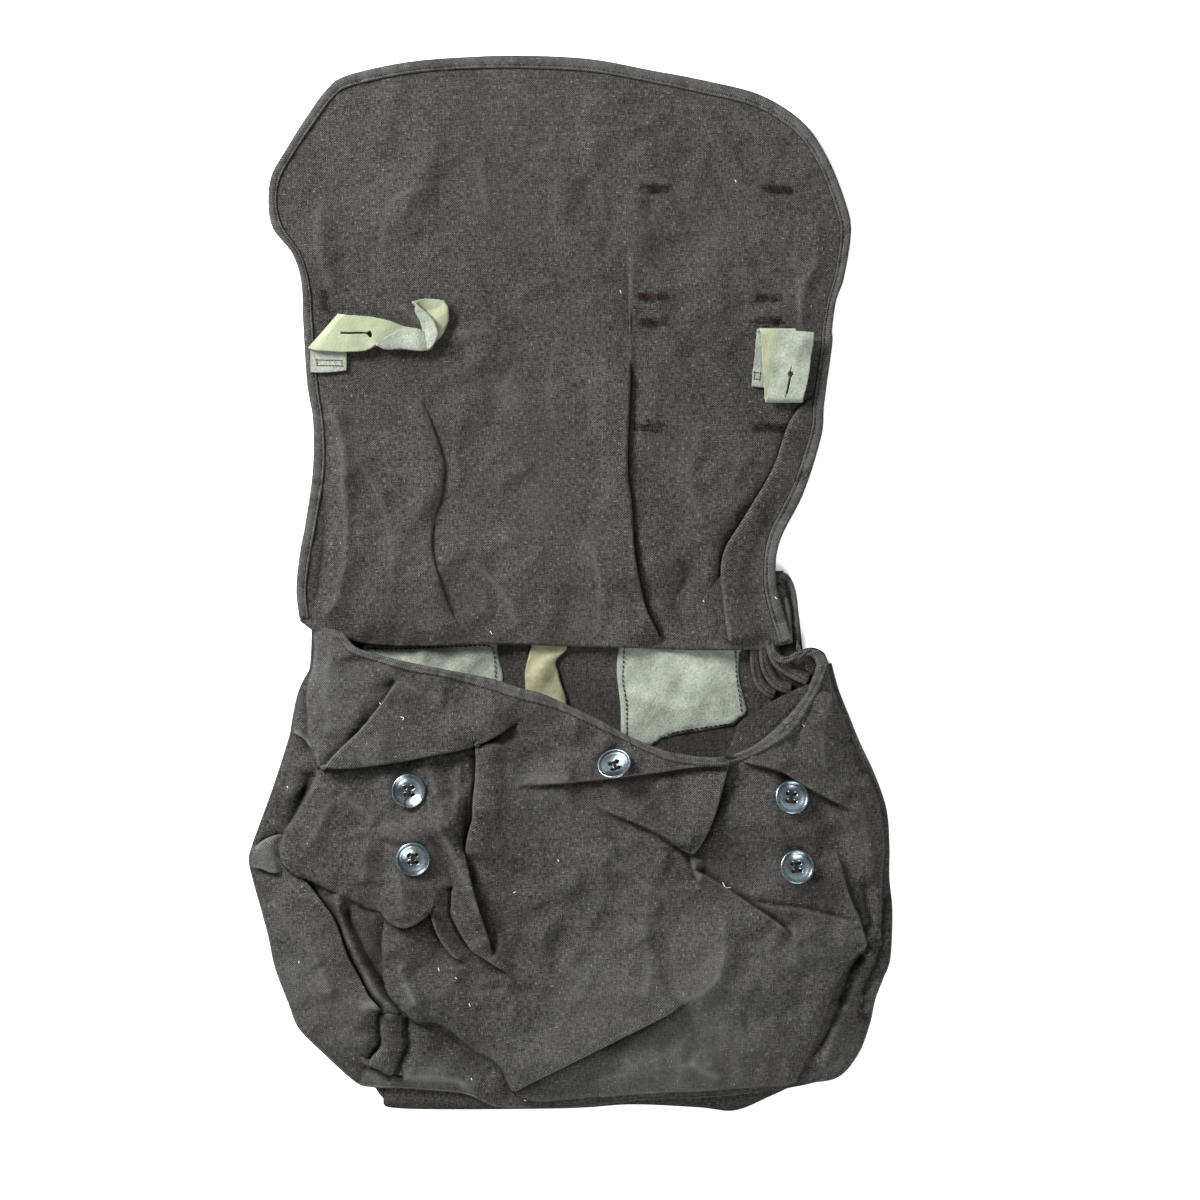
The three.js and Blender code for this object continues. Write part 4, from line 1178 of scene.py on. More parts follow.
@dataclass
class BackAndFlap:
    """The back panel and the flap, one length of canvas: flat to the bag's top, doubled back down, turned up again."""

    finishes: Finishes
    spacing: float = 1.8 * MM
    bend: float = 1.2 * MM
    layer: float = 2.4 * MM
    columns: int = 150
    rows: int = 60
    flap_outline: tuple = (
        (300, 618), (297, 590), (300, 556), (305, 526), (313, 469), (313, 420), (307, 383), (303, 322), (301, 281),
        (292, 253), (273, 228), (268, 203), (271, 175), (285, 150), (305, 118), (326, 89), (346, 75), (403, 62),
        (456, 57), (518, 55), (587, 58), (648, 69), (709, 81), (762, 95), (803, 122), (828, 158), (846, 203),
        (851, 232), (844, 277), (836, 301), (832, 330), (832, 345), (824, 403), (821, 436), (803, 493), (779, 542),
        (775, 579), (782, 610), (792, 640),
    )
    fold_line: tuple = (
        (300, 618), (313, 627), (330, 632), (345, 635), (360, 640), (385, 643), (420, 644), (500, 641), (560, 643),
        (640, 645), (700, 647), (760, 646), (792, 640),
    )
    back_left: tuple = ((374, 1088), (366, 1000), (350, 900), (322, 735), (318, 606), (318, 574))
    back_right: tuple = ((800, 1084), (824, 1003), (836, 900), (838, 842), (806, 665), (803, 647), (797, 600),
                         (784, 574))
    back_bottom: tuple = ((374, 1088), (383, 1100), (401, 1110), (560, 1110), (632, 1106), (700, 1109), (735, 1112),
                          (770, 1098), (800, 1084))

    def relief(self) -> Relief:
        """The folds of the flap."""
        lap, ridge, valley = Kind.LAP, Kind.RIDGE, Kind.VALLEY
        folds = (
            Fold(((660, 640), (652, 624), (644, 606), (634, 558), (630, 501), (626, 460), (630, 354), (630, 277)),
                 lap, 3.0, 16, dip=1.2, lean=0.9, fade=(0.02, 0.35)),
            Fold(((464, 634), (448, 607), (432, 554), (432, 526), (442, 481), (440, 452), (420, 395), (405, 354)),
                 lap, 1.7, 12, dip=0.5, lean=0.2, fade=(0.1, 0.3), round=4.5),
            Fold(((324, 399), (340, 436), (344, 485), (346, 534), (338, 595), (316, 622)), ridge, 2.6, 5),
            Fold(((796, 212), (797, 262), (800, 335)), lap, 0.6, 4, dip=0.4, lean=0.2, fade=(0.2, 0.2), worn=0.1),
            Fold(((629, 225), (630, 280), (630, 345)), lap, 0.6, 5, dip=0.3, lean=0.2, fade=(0.3, 0.1), worn=0.3),
            Fold(((560, 330), (548, 380), (556, 430)), ridge, 0.7, 6),
            Fold(((480, 470), (500, 520), (492, 580)), valley, 0.8, 5),
            Fold(((390, 300), (440, 330), (500, 330)), ridge, 0.5, 8),
            Fold(((700, 420), (690, 480), (705, 530)), ridge, 0.8, 7),
            Fold(((660, 470), (676, 500), (672, 560)), valley, 0.8, 6),
            Fold(((832, 383), (795, 416), (775, 469), (746, 518), (724, 558), (726, 607), (731, 645)),
                 lap, 3.6, 13, dip=1.4, lean=1.2, fade=(0.25, 0.02)),
            Fold(((318, 470), (322, 530), (318, 580), (312, 612)), valley, 1.4, 4),
            Fold(((800, 440), (792, 500), (768, 552), (764, 600)), ridge, 1.4, 5),
            Fold(((526, 436), (546, 452), (552, 518)), valley, 0.8, 5),
            Fold(((505, 391), (512, 370), (518, 346)), ridge, 0.7, 5),
            Fold(((490, 120), (480, 170), (486, 215)), ridge, 0.6, 8),
            Fold(((352, 452), (380, 500), (392, 560), (386, 620)), ridge, 1.0, 7),
            Fold(((470, 560), (500, 590), (520, 630)), ridge, 0.8, 6),
            Fold(((590, 540), (600, 590), (596, 640)), ridge, 0.8, 7),
            Fold(((690, 560), (686, 600), (692, 640)), valley, 1.1, 5),
            Fold(((757, 330), (745, 390), (752, 440)), valley, 0.9, 9),
            Fold(((820, 250), (800, 300), (806, 350)), ridge, 0.9, 7),
            Fold(((322, 190), (316, 240), (330, 290)), ridge, 0.8, 8),
            Fold(((380, 250), (392, 200), (440, 180)), ridge, 0.5, 9),
            Fold(((560, 210), (610, 250), (620, 310)), valley, 0.6, 9),
        )
        faded = (
            FadeAndShadeSpot(520, 100, 90, 0.06), FadeAndShadeSpot(505, 395, 16, 0.3), FadeAndShadeSpot(520, 470, 40, 0.1), FadeAndShadeSpot(545, 512, 30, 0.12),
            FadeAndShadeSpot(700, 240, 40, 0.08), FadeAndShadeSpot(468, 600, 40, 0.08), FadeAndShadeSpot(345, 440, 16, 0.12),
        )
        return Relief(folds, faded)

    def flap_height(self, xy: np.ndarray, relief: Relief) -> tuple[np.ndarray, np.ndarray, np.ndarray]:
        """Gives the flap's surface.

        Args:
            xy: the points.
            relief: the flap's folds.

        Returns:
            The height of its middle, its sideways shift and its wear, with shade painted into its creases.
        """
        top = spots([(0, BAG_TOP)])[0][1]
        rest = 0.9 * MM + (4 * self.bend + 0.2 * MM) * (1 - smooth((xy[:, 1] - top - self.layer) / (26 * MM)))
        lift, push, worn = relief.shape(xy)
        waves = Crumple(3, ((70, 4.5), (34, 3.0), (16, 2.0), (8, 0.75)), sharpness=0.7)
        outline = traced(self.flap_outline, step=4 * MM)
        edge = off(outline, xy)
        calm = 0.35 + 0.65 * smooth(edge / (18 * MM))
        height = np.maximum(rest + (lift + waves.lift(xy)) * calm + 0.35 * MM, 0.75 * MM)
        return height, push * smooth(edge / (6 * MM))[:, None], worn

    def skin(self) -> Skin:
        """Builds the whole sheet's middle surface.

        Returns:
            The skin, from the back's bottom to the flap's tip.
        """
        relief = self.relief()
        side = traced(self.flap_outline, step=1.6 * MM)
        fold = traced(self.fold_line, count=self.columns)
        outline = np.vstack([side, fold[::-1][1:-1]])[::-1]
        flat, faces = cut_cloth(outline, self.spacing, relief.rows(1.3 * MM), 1.5 * MM)
        height, push, worn = self.flap_height(flat, relief)
        flap = draped(flat, faces, height, worn, push)
        fold_height, _, fold_worn = self.flap_height(fold, relief)

        bottom = traced(self.back_bottom, count=self.columns)
        left, right = (traced(p, count=self.rows) for p in (self.back_left, self.back_right))
        rows = Courses()
        waves = Crumple(11, ((30, 0.5), (12, 0.25)))
        share = np.linspace(0, 1, self.columns + 1)[:, None]
        top = left[-1] * (1 - share) + right[-1] * share
        for k in range(self.rows + 1):
            v = k / self.rows
            line = left[k] * (1 - share) + right[k] * share
            line = line + (bottom - (bottom[0] * (1 - share) + bottom[-1] * share)) * (1 - v) ** 4
            lift = 0.6 * MM + np.maximum(0, waves.lift(line)) * smooth(np.array([v * 6]))[0]
            # The back panel is darkened throughout: its value of -0.25 draws the canvas towards the near black crease
            # colour.
            rows.add(line, lift, -0.25)
        low, high = lift, 0.6 * MM + self.layer
        for k in range(1, 6):
            a = math.pi * k / 5
            turned = top + (0, self.bend * math.sin(a))
            rows.add(turned, low + (high - low) * (1 - math.cos(a)) / 2, 0.3, top + (0, k * 0.7 * MM))
        for k in range(1, 12):
            v = k / 12
            line = top * (1 - v) + fold * v
            wave = 0.3 * MM * np.sin(v * 9 + line[:, 0] * 90)
            rows.add(line, high + wave + v * (fold_height - 2 * self.bend - high), 0)
        for k in range(0, 6):
            a = math.pi * k / 5
            height, cloth = fold_height - self.bend * (1 + math.cos(a)), fold - (0, (5 - k) * 0.7 * MM)
            rows.add(fold - (0, self.bend * math.sin(a)), height, fold_worn + 0.12, cloth)
        return rows.skin().joined(flap)

    def build(self) -> bpy.types.Object:
        skin = self.skin()
        piece = closed_sheet("canvas_back_and_flap", skin, CLOTH, self.finishes.flap_canvas, share=0.5)
        finish_piece(piece, "canvas", "back_and_flap")
        return piece


@dataclass
class Bag:
    """The front panel and the gusset of the slack bag."""

    finishes: Finishes
    depth: float = 20 * MM
    rim: float = 6.6 * MM
    reach: float = 62 * MM
    mouth_steps: int = 260
    spacing: float = 1.6 * MM
    outline: tuple = (
        (314, 627), (312, 667), (305, 682), (299, 698), (294, 723), (291, 739), (276, 786), (263, 822), (254, 847),
        (251, 861), (255, 880), (260, 898), (270, 934), (277, 967), (291, 1004), (301, 1028), (326, 1053), (356, 1080),
        (371, 1085), (400, 1086), (424, 1087.5), (464, 1091.5), (485, 1100), (503, 1105.5), (560, 1106), (600, 1103),
        (643, 1098), (700, 1096), (760, 1091), (792, 1086), (811, 1081), (838, 1075), (857, 1052), (868, 1022),
        (873, 999), (881, 978), (888, 958), (890, 912), (887, 880), (887, 845), (884, 810), (872, 775), (858, 745),
        (845, 713), (836, 690), (829, 664),
    )
    mouth_free: tuple = (
        (344, 632), (355, 646), (371, 652), (405, 661), (439, 668), (489, 678), (520, 687.5), (544, 694),
        (568.5, 705), (593, 716), (624, 733), (646, 743), (675, 752.5), (711, 756.5), (731, 754), (750, 746.6),
        (769.6, 733), (789, 715), (803.6, 696), (813, 677), (817, 665),
    )
    mouth_sewn: tuple = (
        (337, 634), (347, 648), (357, 654), (382, 661.5), (412, 670), (450, 677), (489, 688), (520, 697.5),
        (540, 702.5), (564, 710.5), (593, 724), (622, 738), (646, 750), (675, 760.5), (709, 764), (731, 761.5),
        (753, 754), (774.5, 742), (794, 727), (808.5, 705.5), (820.5, 684), (827, 664),
    )
    left_side: tuple = (
        (337, 630), (325, 628), (314, 627), (313, 646), (311.5, 667), (307, 683), (305, 698), (306, 714), (307, 732),
        (310, 751), (314, 763), (317, 771), (308, 790), (297, 810), (287, 826), (281, 838), (279, 850), (281, 863),
        (290, 873), (307, 881), (342, 896.5), (366, 908), (383, 914), (382, 942), (383, 975), (387, 993), (403, 1012),
        (415.5, 1022), (434, 1022), (452, 1034), (475, 1053), (499, 1067), (510, 1091), (525, 1101), (540, 1104),
    )
    bottom_side: tuple = ((540, 1104), (574, 1101), (643, 1095.5), (700, 1093), (747, 1089.7), (781, 1087.5),
                          (797, 1084))
    right_side: tuple = (
        (797, 1084), (811, 1054), (822, 1027), (834, 994), (848, 967), (865, 949), (871, 939), (876, 938), (881, 946),
        (883, 919), (884, 880), (886, 845), (882, 810), (871, 778), (857, 746), (844, 714), (835, 690), (828, 664),
    )

    def front_relief(self) -> Relief:
        """The folds of the front panel."""
        lap, ridge, valley = Kind.LAP, Kind.RIDGE, Kind.VALLEY
        folds = (
            # upper left
            Fold(((399, 680), (382, 705), (362, 730), (343, 748), (324, 767), (318, 773)), lap, 3.4, 16, dip=1.6,
                 lean=1.2, fade=(0.06, 0.03), worn=0.5),
            Fold(((316, 768), (324, 767), (355, 766), (401, 760), (431, 754), (470, 746), (494, 736), (514, 722),
                  (522, 716)), lap, 3.6, 16, dip=1.4, lean=1.2, fade=(0.03, 0.1), worn=0.3),
            Fold(((350, 655), (352, 672), (362, 690), (356, 715)), valley, 1.6, 6, fade=(0.1, 0.4)),
            Fold(((372, 660), (392, 672), (412, 688), (450, 700)), ridge, 1.0, 8),
            Fold(((330, 640), (326, 690), (330, 740)), ridge, 1.0, 9),
            # between the left buttons and the deep crevice
            Fold(((478, 738), (479, 760), (478, 782), (476, 800), (475.5, 818), (471, 834), (466, 862)), lap, 4.8, 15,
                 dip=3.8, lean=2.0, fade=(0.06, 0.12), worn=0.5),
            Fold(((474, 752), (473, 784), (470, 814), (463, 856)), valley, 5.0, 2.0, fade=(0.04, 0.12)),
            Fold(((461, 758), (459, 790), (456, 815), (452, 836)), ridge, 0.9, 2.5, fade=(0.1, 0.3)),
            Fold(((494, 956), (485, 928), (477, 902), (469, 873), (464, 850), (462, 832)), lap, 4.2, 7, dip=3.0,
                 lean=1.6, fade=(0.15, 0.15), worn=0.4),
            Fold(((424, 748), (432, 775), (440, 802), (450, 832)), ridge, 1.2, 6, worn=0.3),
            Fold(((432, 806), (440, 825), (452, 850), (463, 876), (473, 900), (483, 924)), ridge, 2.0, 4, worn=0.4,
                 fade=(0.2, 0.15)),
            Fold(((428, 822), (439, 850), (449, 875), (453, 892)), valley, 1.2, 2.5, fade=(0.3, 0.1)),
            Fold(((440, 752), (450, 775), (456, 800)), valley, 1.2, 5),
            Fold(((342, 790), (362, 810), (378, 824)), ridge, 1.4, 6, worn=0.5),
            Fold(((350, 848), (352, 830), (372, 815)), valley, 1.6, 7),
            Fold(((376, 826), (410, 828), (446, 822)), ridge, 0.8, 7, worn=0.2),
            Fold(((408, 981), (416, 996), (421, 1007)), ridge, 1.0, 4, worn=0.3),
            Fold(((462, 989), (500, 985), (540, 987)), valley, 0.7, 3),
            Fold(((300, 850), (318, 830), (330, 800), (336, 780)), ridge, 1.2, 8),
            Fold(((362, 884), (368, 850), (366, 826)), ridge, 1.2, 8),
            Fold(((386, 890), (384, 862), (388, 836)), valley, 1.4, 7),
            Fold(((404, 918), (402, 890), (400, 872)), ridge, 1.2, 6),
            # the lip over the left gusset and the tongue
            Fold(((376, 911), (383, 914), (401, 924), (413.5, 922), (430, 911), (434, 903)), lap, 4.4, 14, dip=1.4,
                 lean=1.4, fade=(0.05, 0.12), worn=0.5),
            Fold(((431, 907), (436, 925), (444, 941), (455, 954), (464, 958)), lap, 2.6, 4.5, dip=2.4, lean=1.1,
                 fade=(0.04, 0.08), worn=0.5, round=1.6),
            Fold(((451, 884), (450, 905), (454, 922), (463, 939), (472, 949)), valley, 4.2, 2.0, fade=(0.1, 0.1)),
            Fold(((454, 884), (453.5, 900), (452.5, 911), (456, 920), (463, 933), (472, 946), (482, 953), (496, 962),
                  (512, 973)), lap, 2.8, 8, dip=1.6, lean=1.4, fade=(0.06, 0.15), worn=0.45),
            Fold(((488, 960), (500, 944), (498, 930)), ridge, 1.2, 4),
            Fold(((400, 962), (408, 985), (418, 1006)), ridge, 1.4, 4, worn=0.6),
            Fold(((420, 970), (436, 950), (440, 940)), valley, 1.4, 6),
            Fold(((430, 1000), (452, 985), (480, 990), (520, 984)), ridge, 0.9, 9),
            # below the mouth
            Fold(((512, 786), (520, 785), (568, 781), (600, 778), (641, 773), (690, 766), (728, 762)), lap, 2.4, 10,
                 dip=0.9, lean=0.8, fade=(0.2, 0.02), worn=0.7),
            Fold(((687, 850), (693, 851), (704, 834), (714, 810), (721, 785), (727, 764), (728, 758)), lap, 4.0, 14,
                 dip=1.8, lean=1.4, fade=(0.05, 0.02), worn=0.5),
            Fold(((588, 799), (610, 812), (636, 822), (665, 836), (680, 848), (690, 852)), lap, 2.2, 13, dip=1.2,
                 lean=0.5, fade=(0.4, 0.04), worn=0.25, round=2.6),
            Fold(((676, 842), (684, 838), (692, 843)), ridge, 1.4, 3),
            Fold(((672, 846), (682, 850), (690, 862)), valley, 2.0, 3.5),
            Fold(((690, 852), (692, 866), (699, 888)), lap, 1.8, 6, dip=1.2, lean=0.4, fade=(0.1, 0.3)),
            Fold(((512, 784), (540, 776), (575, 774)), ridge, 0.8, 6, worn=0.4),
            # right of the wing
            Fold(((792, 934), (776, 921), (758, 909), (742, 898), (721, 884), (703, 873), (694, 868)), lap, 2.6, 12,
                 dip=1.4, lean=1.0, fade=(0.1, 0.1), worn=0.3),
            Fold(((862, 922), (838, 917), (804, 908), (770, 904), (747, 899)), lap, 1.6, 9, dip=0.9, lean=0.3,
                 fade=(0.15, 0.15), worn=0.2, round=2.6),
            Fold(((792, 922), (795, 945), (795, 968)), ridge, 1.0, 4),
            Fold(((742, 761), (777, 769), (796, 780), (823, 795), (847, 807), (856, 812)), lap, 2.8, 13, dip=1.4,
                 lean=0.8, fade=(0.08, 0.2), worn=0.3),
            Fold(((820, 680), (810, 705), (797, 735), (789, 762)), valley, 2.6, 6, fade=(0.12, 0.3)),
            Fold(((832, 690), (822, 735), (826, 775)), ridge, 1.2, 8),
            Fold(((845, 827), (830, 842), (815, 860), (810, 880)), valley, 2.2, 6),
            Fold(((867, 950), (859, 919), (850, 898), (841, 868), (836, 845)), lap, 2.4, 9, dip=1.6, lean=0.7,
                 fade=(0.02, 0.25), worn=0.5),
            Fold(((872, 930), (866, 905), (862, 880)), valley, 1.8, 4),
            Fold(((870, 880), (866, 840), (860, 800)), ridge, 1.2, 7),
            Fold(((852, 735), (858, 756), (864, 778)), valley, 1.6, 3.5),
            # the belly
            Fold(((507, 1094), (526, 1083), (557, 1067), (586, 1052), (632, 1029), (659, 1015), (682, 1001),
                  (692, 995)), lap, 4.0, 26, dip=1.6, lean=1.4, fade=(0.04, 0.12), worn=0.45),
            Fold(((680, 1001), (701, 991), (717, 976), (722, 955), (722, 925), (714, 900)), ridge, 3.0, 11, worn=0.6,
                 fade=(0.06, 0.3)),
            Fold(((684, 1012), (708, 1004), (730, 985)), valley, 1.6, 8),
            Fold(((606, 915), (622, 911), (639, 917)), valley, 0.6, 2.5),
            Fold(((560, 962), (580, 972), (596, 982)), ridge, 0.7, 5, worn=0.3),
            Fold(((540, 900), (560, 930), (556, 960)), valley, 0.9, 9),
            Fold(((640, 920), (650, 960), (640, 1000)), ridge, 0.9, 9),
            Fold(((600, 850), (640, 880), (670, 900)), ridge, 0.8, 10),
            Fold(((690, 1060), (705, 1072), (722, 1078)), ridge, 0.6, 4, worn=0.9),
            Fold(((740, 1020), (780, 1015), (805, 1010)), valley, 1.2, 8),
            Fold(((590, 1080), (650, 1068), (720, 1062)), ridge, 1.0, 9),
        )
        faded = (
            FadeAndShadeSpot(340, 690, 60, 0.14), FadeAndShadeSpot(318, 668, 14, 0.2), FadeAndShadeSpot(365, 760, 30, 0.08), FadeAndShadeSpot(545, 783, 26, 0.2),
            FadeAndShadeSpot(625, 914, 18, 0.2), FadeAndShadeSpot(575, 985, 34, 0.12), FadeAndShadeSpot(405, 1005, 20, 0.15), FadeAndShadeSpot(717, 960, 16, 0.2),
            FadeAndShadeSpot(700, 1000, 26, 0.14), FadeAndShadeSpot(500, 948, 16, 0.12), FadeAndShadeSpot(815, 950, 30, 0.14), FadeAndShadeSpot(700, 1066, 40, 0.1),
            FadeAndShadeSpot(640, 1078, 60, 0.12), FadeAndShadeSpot(690, 1060, 80, 0.3),
            FadeAndShadeSpot(560, 1095, 60, 0.1), FadeAndShadeSpot(850, 830, 22, 0.1), FadeAndShadeSpot(475, 790, 18, 0.12), FadeAndShadeSpot(400, 830, 26, 0.14),
        )
        return Relief(folds, faded)

    def gusset_relief(self) -> Relief:
        """The folds of the gusset."""
        lap, ridge, valley = Kind.LAP, Kind.RIDGE, Kind.VALLEY
        folds = (
            Fold(((383, 1012), (378, 1006), (368, 995), (357, 974), (347, 955), (340, 935), (333, 918), (320, 900),
                  (306, 883), (298, 872)), lap, 2.8, 12, dip=2.2, lean=1.3, fade=(0.03, 0.08), worn=0.35),
            Fold(((337, 890), (340, 908), (346, 930), (357, 953), (372, 983), (386, 1000), (400, 1012)), ridge, 2.6,
                 2.0, fade=(0.05, 0.03), worn=0.6),
            Fold(((346, 900), (350, 920), (361, 941), (378, 974), (392, 993), (404, 1008)), valley, 2.6, 2.0,
                 fade=(0.1, 0.03)),
            Fold(((362, 910), (364, 940), (372, 962)), ridge, 0.8, 5),
            Fold(((281, 835), (265, 841), (254, 849)), lap, 2.2, 9, dip=1.4, lean=1.0, fade=(0.02, 0.05), worn=0.9),
            Fold(((251, 868), (262, 868), (271, 872), (280, 871)), lap, 1.8, 7, dip=1.2, lean=0.8, worn=0.9),
            Fold(((292, 732), (301, 736), (309, 744), (314, 752)), lap, 1.4, 6, dip=1.0, lean=0.5, worn=1.4),
            Fold(((310, 770), (300, 800), (286, 828)), valley, 2.4, 4),
            Fold(((270, 900), (284, 915), (292, 940)), ridge, 0.9, 8),
            Fold(((318, 962), (338, 985), (356, 1000)), valley, 1.2, 6),
            Fold(((300, 930), (318, 962), (330, 1000)), ridge, 1.2, 9),
            Fold(((378, 1007), (368, 1004), (357, 1002)), ridge, 0.9, 1.6, worn=1.3),
            Fold(((366, 1063), (391, 1075), (404, 1074)), lap, 1.2, 6, dip=0.8, lean=0.4, worn=0.3),
            Fold(((356, 1082), (366, 1064)), valley, 1.4, 2.5),
            Fold(((378, 1008), (378.5, 1030), (379, 1045), (369, 1062)), valley, 2.6, 1.5, fade=(0.03, 0.03)),
            Fold(((405, 1014), (405.5, 1034), (407.5, 1042), (400, 1060), (394, 1077)), valley, 2.6, 1.5,
                 fade=(0.03, 0.03)),
            Fold(((369, 1066), (380, 1073), (392, 1078)), valley, 2.0, 1.5, fade=(0.03, 0.03)),
            Fold(((400, 1076), (424, 1079), (454, 1081), (468, 1090), (480, 1096)), ridge, 1.4, 3.5, worn=1.0),
            Fold(((446, 1030), (462, 1050), (482, 1066), (496, 1074)), valley, 1.6, 5),
            Fold(((462, 1084), (474, 1086), (480, 1078)), ridge, 1.0, 3),
            Fold(((844, 1016), (853, 990), (864, 967), (873, 948)), ridge, 1.5, 5, worn=0.3),
            Fold(((865, 953), (852, 969), (844, 991), (833, 1021), (815, 1056)), valley, 2.0, 2.0, fade=(0.04, 0.15)),
            Fold(((820, 1070), (834, 1032), (846, 1000)), ridge, 1.8, 7),
            Fold(((888, 890), (884, 919), (882, 949), (874, 969), (866, 986), (861, 1001)), valley, 2.6, 2.2),
            Fold(((858, 1008), (866, 1002), (874, 1000)), valley, 1.6, 1.6),
            Fold(((856, 1014), (864, 1016), (868, 1024)), valley, 1.6, 1.6),
            Fold(((880, 980), (872, 1000), (868, 1014)), ridge, 1.0, 2.5, worn=0.5),
            Fold(((800, 1078), (826, 1072), (846, 1056)), ridge, 1.0, 6),
        )
        # The spots with a negative amount are painted shade in the gusset's recesses and valleys.
        faded = (
            FadeAndShadeSpot(266, 856, 14, 0.45), FadeAndShadeSpot(276, 860, 9, 0.4), FadeAndShadeSpot(378, 1078, 14, 0.5), FadeAndShadeSpot(430, 1082, 30, 0.35),
            FadeAndShadeSpot(300, 985, 40, 0.2), FadeAndShadeSpot(262, 905, 30, 0.04), FadeAndShadeSpot(352, 1035, 20, 0.2), FadeAndShadeSpot(850, 1060, 26, 0.25),
            FadeAndShadeSpot(866, 1000, 12, 0.2), FadeAndShadeSpot(298, 700, 12, 0.1), FadeAndShadeSpot(366, 935, 26, -0.3), FadeAndShadeSpot(350, 905, 20, -0.25),
            FadeAndShadeSpot(312, 790, 16, -0.35), FadeAndShadeSpot(430, 1040, 22, -0.15), FadeAndShadeSpot(860, 965, 14, -0.3),
        )
        return Relief(folds, faded)

    def puffed(self, xy: np.ndarray) -> np.ndarray:
        """The slack bag's height before its folds."""
        corners = spots([(799, BAG_TOP), (319, BAG_TOP)])
        edge = np.vstack([traced(self.outline, step=4 * MM), corners, spots(self.outline[:1])])
        inward = np.clip(off(edge, xy) / self.reach, 0, 1)
        return self.depth + (self.rim - self.depth) * (1 - inward) ** 2

    def gusset_height(
        self, xy: np.ndarray, relief: Relief, sunk: bool = True
    ) -> tuple[np.ndarray, np.ndarray, np.ndarray]:
        """Gives the upper layer of the gusset.

        Args:
            xy: the points.
            relief: its folds.
            sunk: whether it is drawn down along the seam with the front panel.

        Returns:
            Its height, its sideways shift and its wear, with shade painted into its creases and recesses.
        """
        edge = off(traced(self.outline, step=3 * MM), xy)
        lift, push, worn = relief.shape(xy)
        waves = Crumple(7, ((28, 2.8), (14, 1.6), (7, 0.6)), sharpness=0.7)
        low = 3.3 * MM
        grown = 1 - np.exp(-edge / (7 * MM))
        height = low + (self.puffed(xy) - 2.6 * MM - low) * grown
        calm = smooth(edge / (5 * MM))
        height = height + (lift + waves.lift(xy)) * (0.25 + 0.75 * calm)
        if sunk:
            seam = off(self.front_sides(), xy)
            height -= 2.6 * MM * np.exp(-((seam / (2.4 * MM)) ** 2)) * (0.3 + 0.7 * smooth(edge / (8 * MM)))
        return np.maximum(height, 2.4 * MM), push * calm[:, None], worn

    def front_sides(self) -> np.ndarray:
        """The seam between the front panel and the gusset."""
        return np.vstack([traced(p, step=3 * MM) for p in (self.left_side[2:], self.bottom_side, self.right_side)])

    def front_outline(self) -> np.ndarray:
        """The front panel's outline, from the mouth's left end round the bottom to the right corner and back."""
        free, sewn = (traced(p, count=self.mouth_steps) for p in (self.mouth_free, self.mouth_sewn))
        mouth = (free + sewn) / 2
        sides = [traced(p, step=1.4 * MM) for p in (self.left_side, self.bottom_side, self.right_side)]
        return np.vstack([sides[0], sides[1][1:], sides[2][1:], mouth[::-1]])

    def front_height(self, xy: np.ndarray, relief: Relief, under: Relief) -> tuple[np.ndarray, np.ndarray, np.ndarray]:
        """Gives the front panel's outer surface.

        Args:
            xy: the points.
            relief: its folds.
            under: the folds of the gusset, which it rolls down to.

        Returns:
            Its height, its sideways shift and its wear, with shade painted into its creases.
        """
        lift, push, worn = relief.shape(xy)
        waves = Crumple(5, ((52, 4.5), (26, 3.2), (13, 1.9), (6.5, 0.7)), sharpness=0.7)
        height = self.puffed(xy) + 1.2 * MM + lift + waves.lift(xy)
        edge = off(self.front_sides(), xy)
        floor = self.gusset_height(xy, under)[0] - 0.1 * MM
        turn = np.clip(edge / (3.2 * MM), 0, 1)
        rolled = np.sqrt(1 - (1 - turn) ** 2)
        height = floor + np.maximum(height - floor, 1.4 * MM) * rolled
        worn = worn + 0.25 * np.exp(-(((edge - 0.6 * MM) / (1.0 * MM)) ** 2))
        return height, push * smooth(edge / (4 * MM))[:, None], worn

    def front(self) -> bpy.types.Object:
        """Makes the front panel."""
        relief, under = self.front_relief(), self.gusset_relief()
        outline = self.front_outline()
        flat, faces = cut_cloth(outline, self.spacing, relief.rows(1.25 * MM), 1.4 * MM)
        height, push, worn = self.front_height(flat, relief, under)
        skin = draped(flat, faces, height, worn, push)
        piece = closed_sheet("canvas_front", skin, CLOTH, self.finishes.bag_canvas)
        return finish_piece(piece, "canvas", "front_panel")

    def gusset(self) -> bpy.types.Object:
        """Makes the gusset: its upper layer, the turned rim and the layer below."""
        relief = self.gusset_relief()
        rim = traced(self.outline, step=1.8 * MM)
        corner = spots([(824, 654), (811, 651), (802, 651), (797, 640), (797, 600), (400, 600)])
        outline = np.vstack([rim, corner])
        flat, faces = cut_cloth(outline, 1.9 * MM, relief.rows(1.3 * MM), 1.5 * MM)
        front = self.front_outline()
        middle = flat[faces].mean(1)
        deep = inside(front, middle) & (off(front, middle, closed=True) > 9 * MM)
        above = spots([(330, 634), (330, 600), (797, 600), (797, 648), (806, 668), (812, 676)])
        opening = np.vstack([front[-self.mouth_steps - 1 :], above])
        shape = self.gusset_height(flat, relief)
        faces, flat, height, push, worn = trimmed(faces[~(deep | inside(opening, middle))], flat, *shape)
        top = draped(flat, faces, height, worn, push)
        start = self.gusset_height(rim, relief)
        out = -leftwards(rim)
        if inside(outline, rim[len(rim) // 2 : len(rim) // 2 + 1] + out[len(rim) // 2] * 2 * MM)[0]:
            out = -out
        rows = Courses()
        under = 0.75 * MM + 1.6 * MM * self._over_back(rim)
        for k in range(0, 6):
            a = math.pi * k / 5
            half = (start[0] - under) / 2
            turned = rim + start[1] * (1 if k == 0 else 0) + out * (1.3 * MM * math.sin(a))
            worn, cloth = start[2] + 0.35 * math.sin(a), rim + out * k * 0.8 * MM
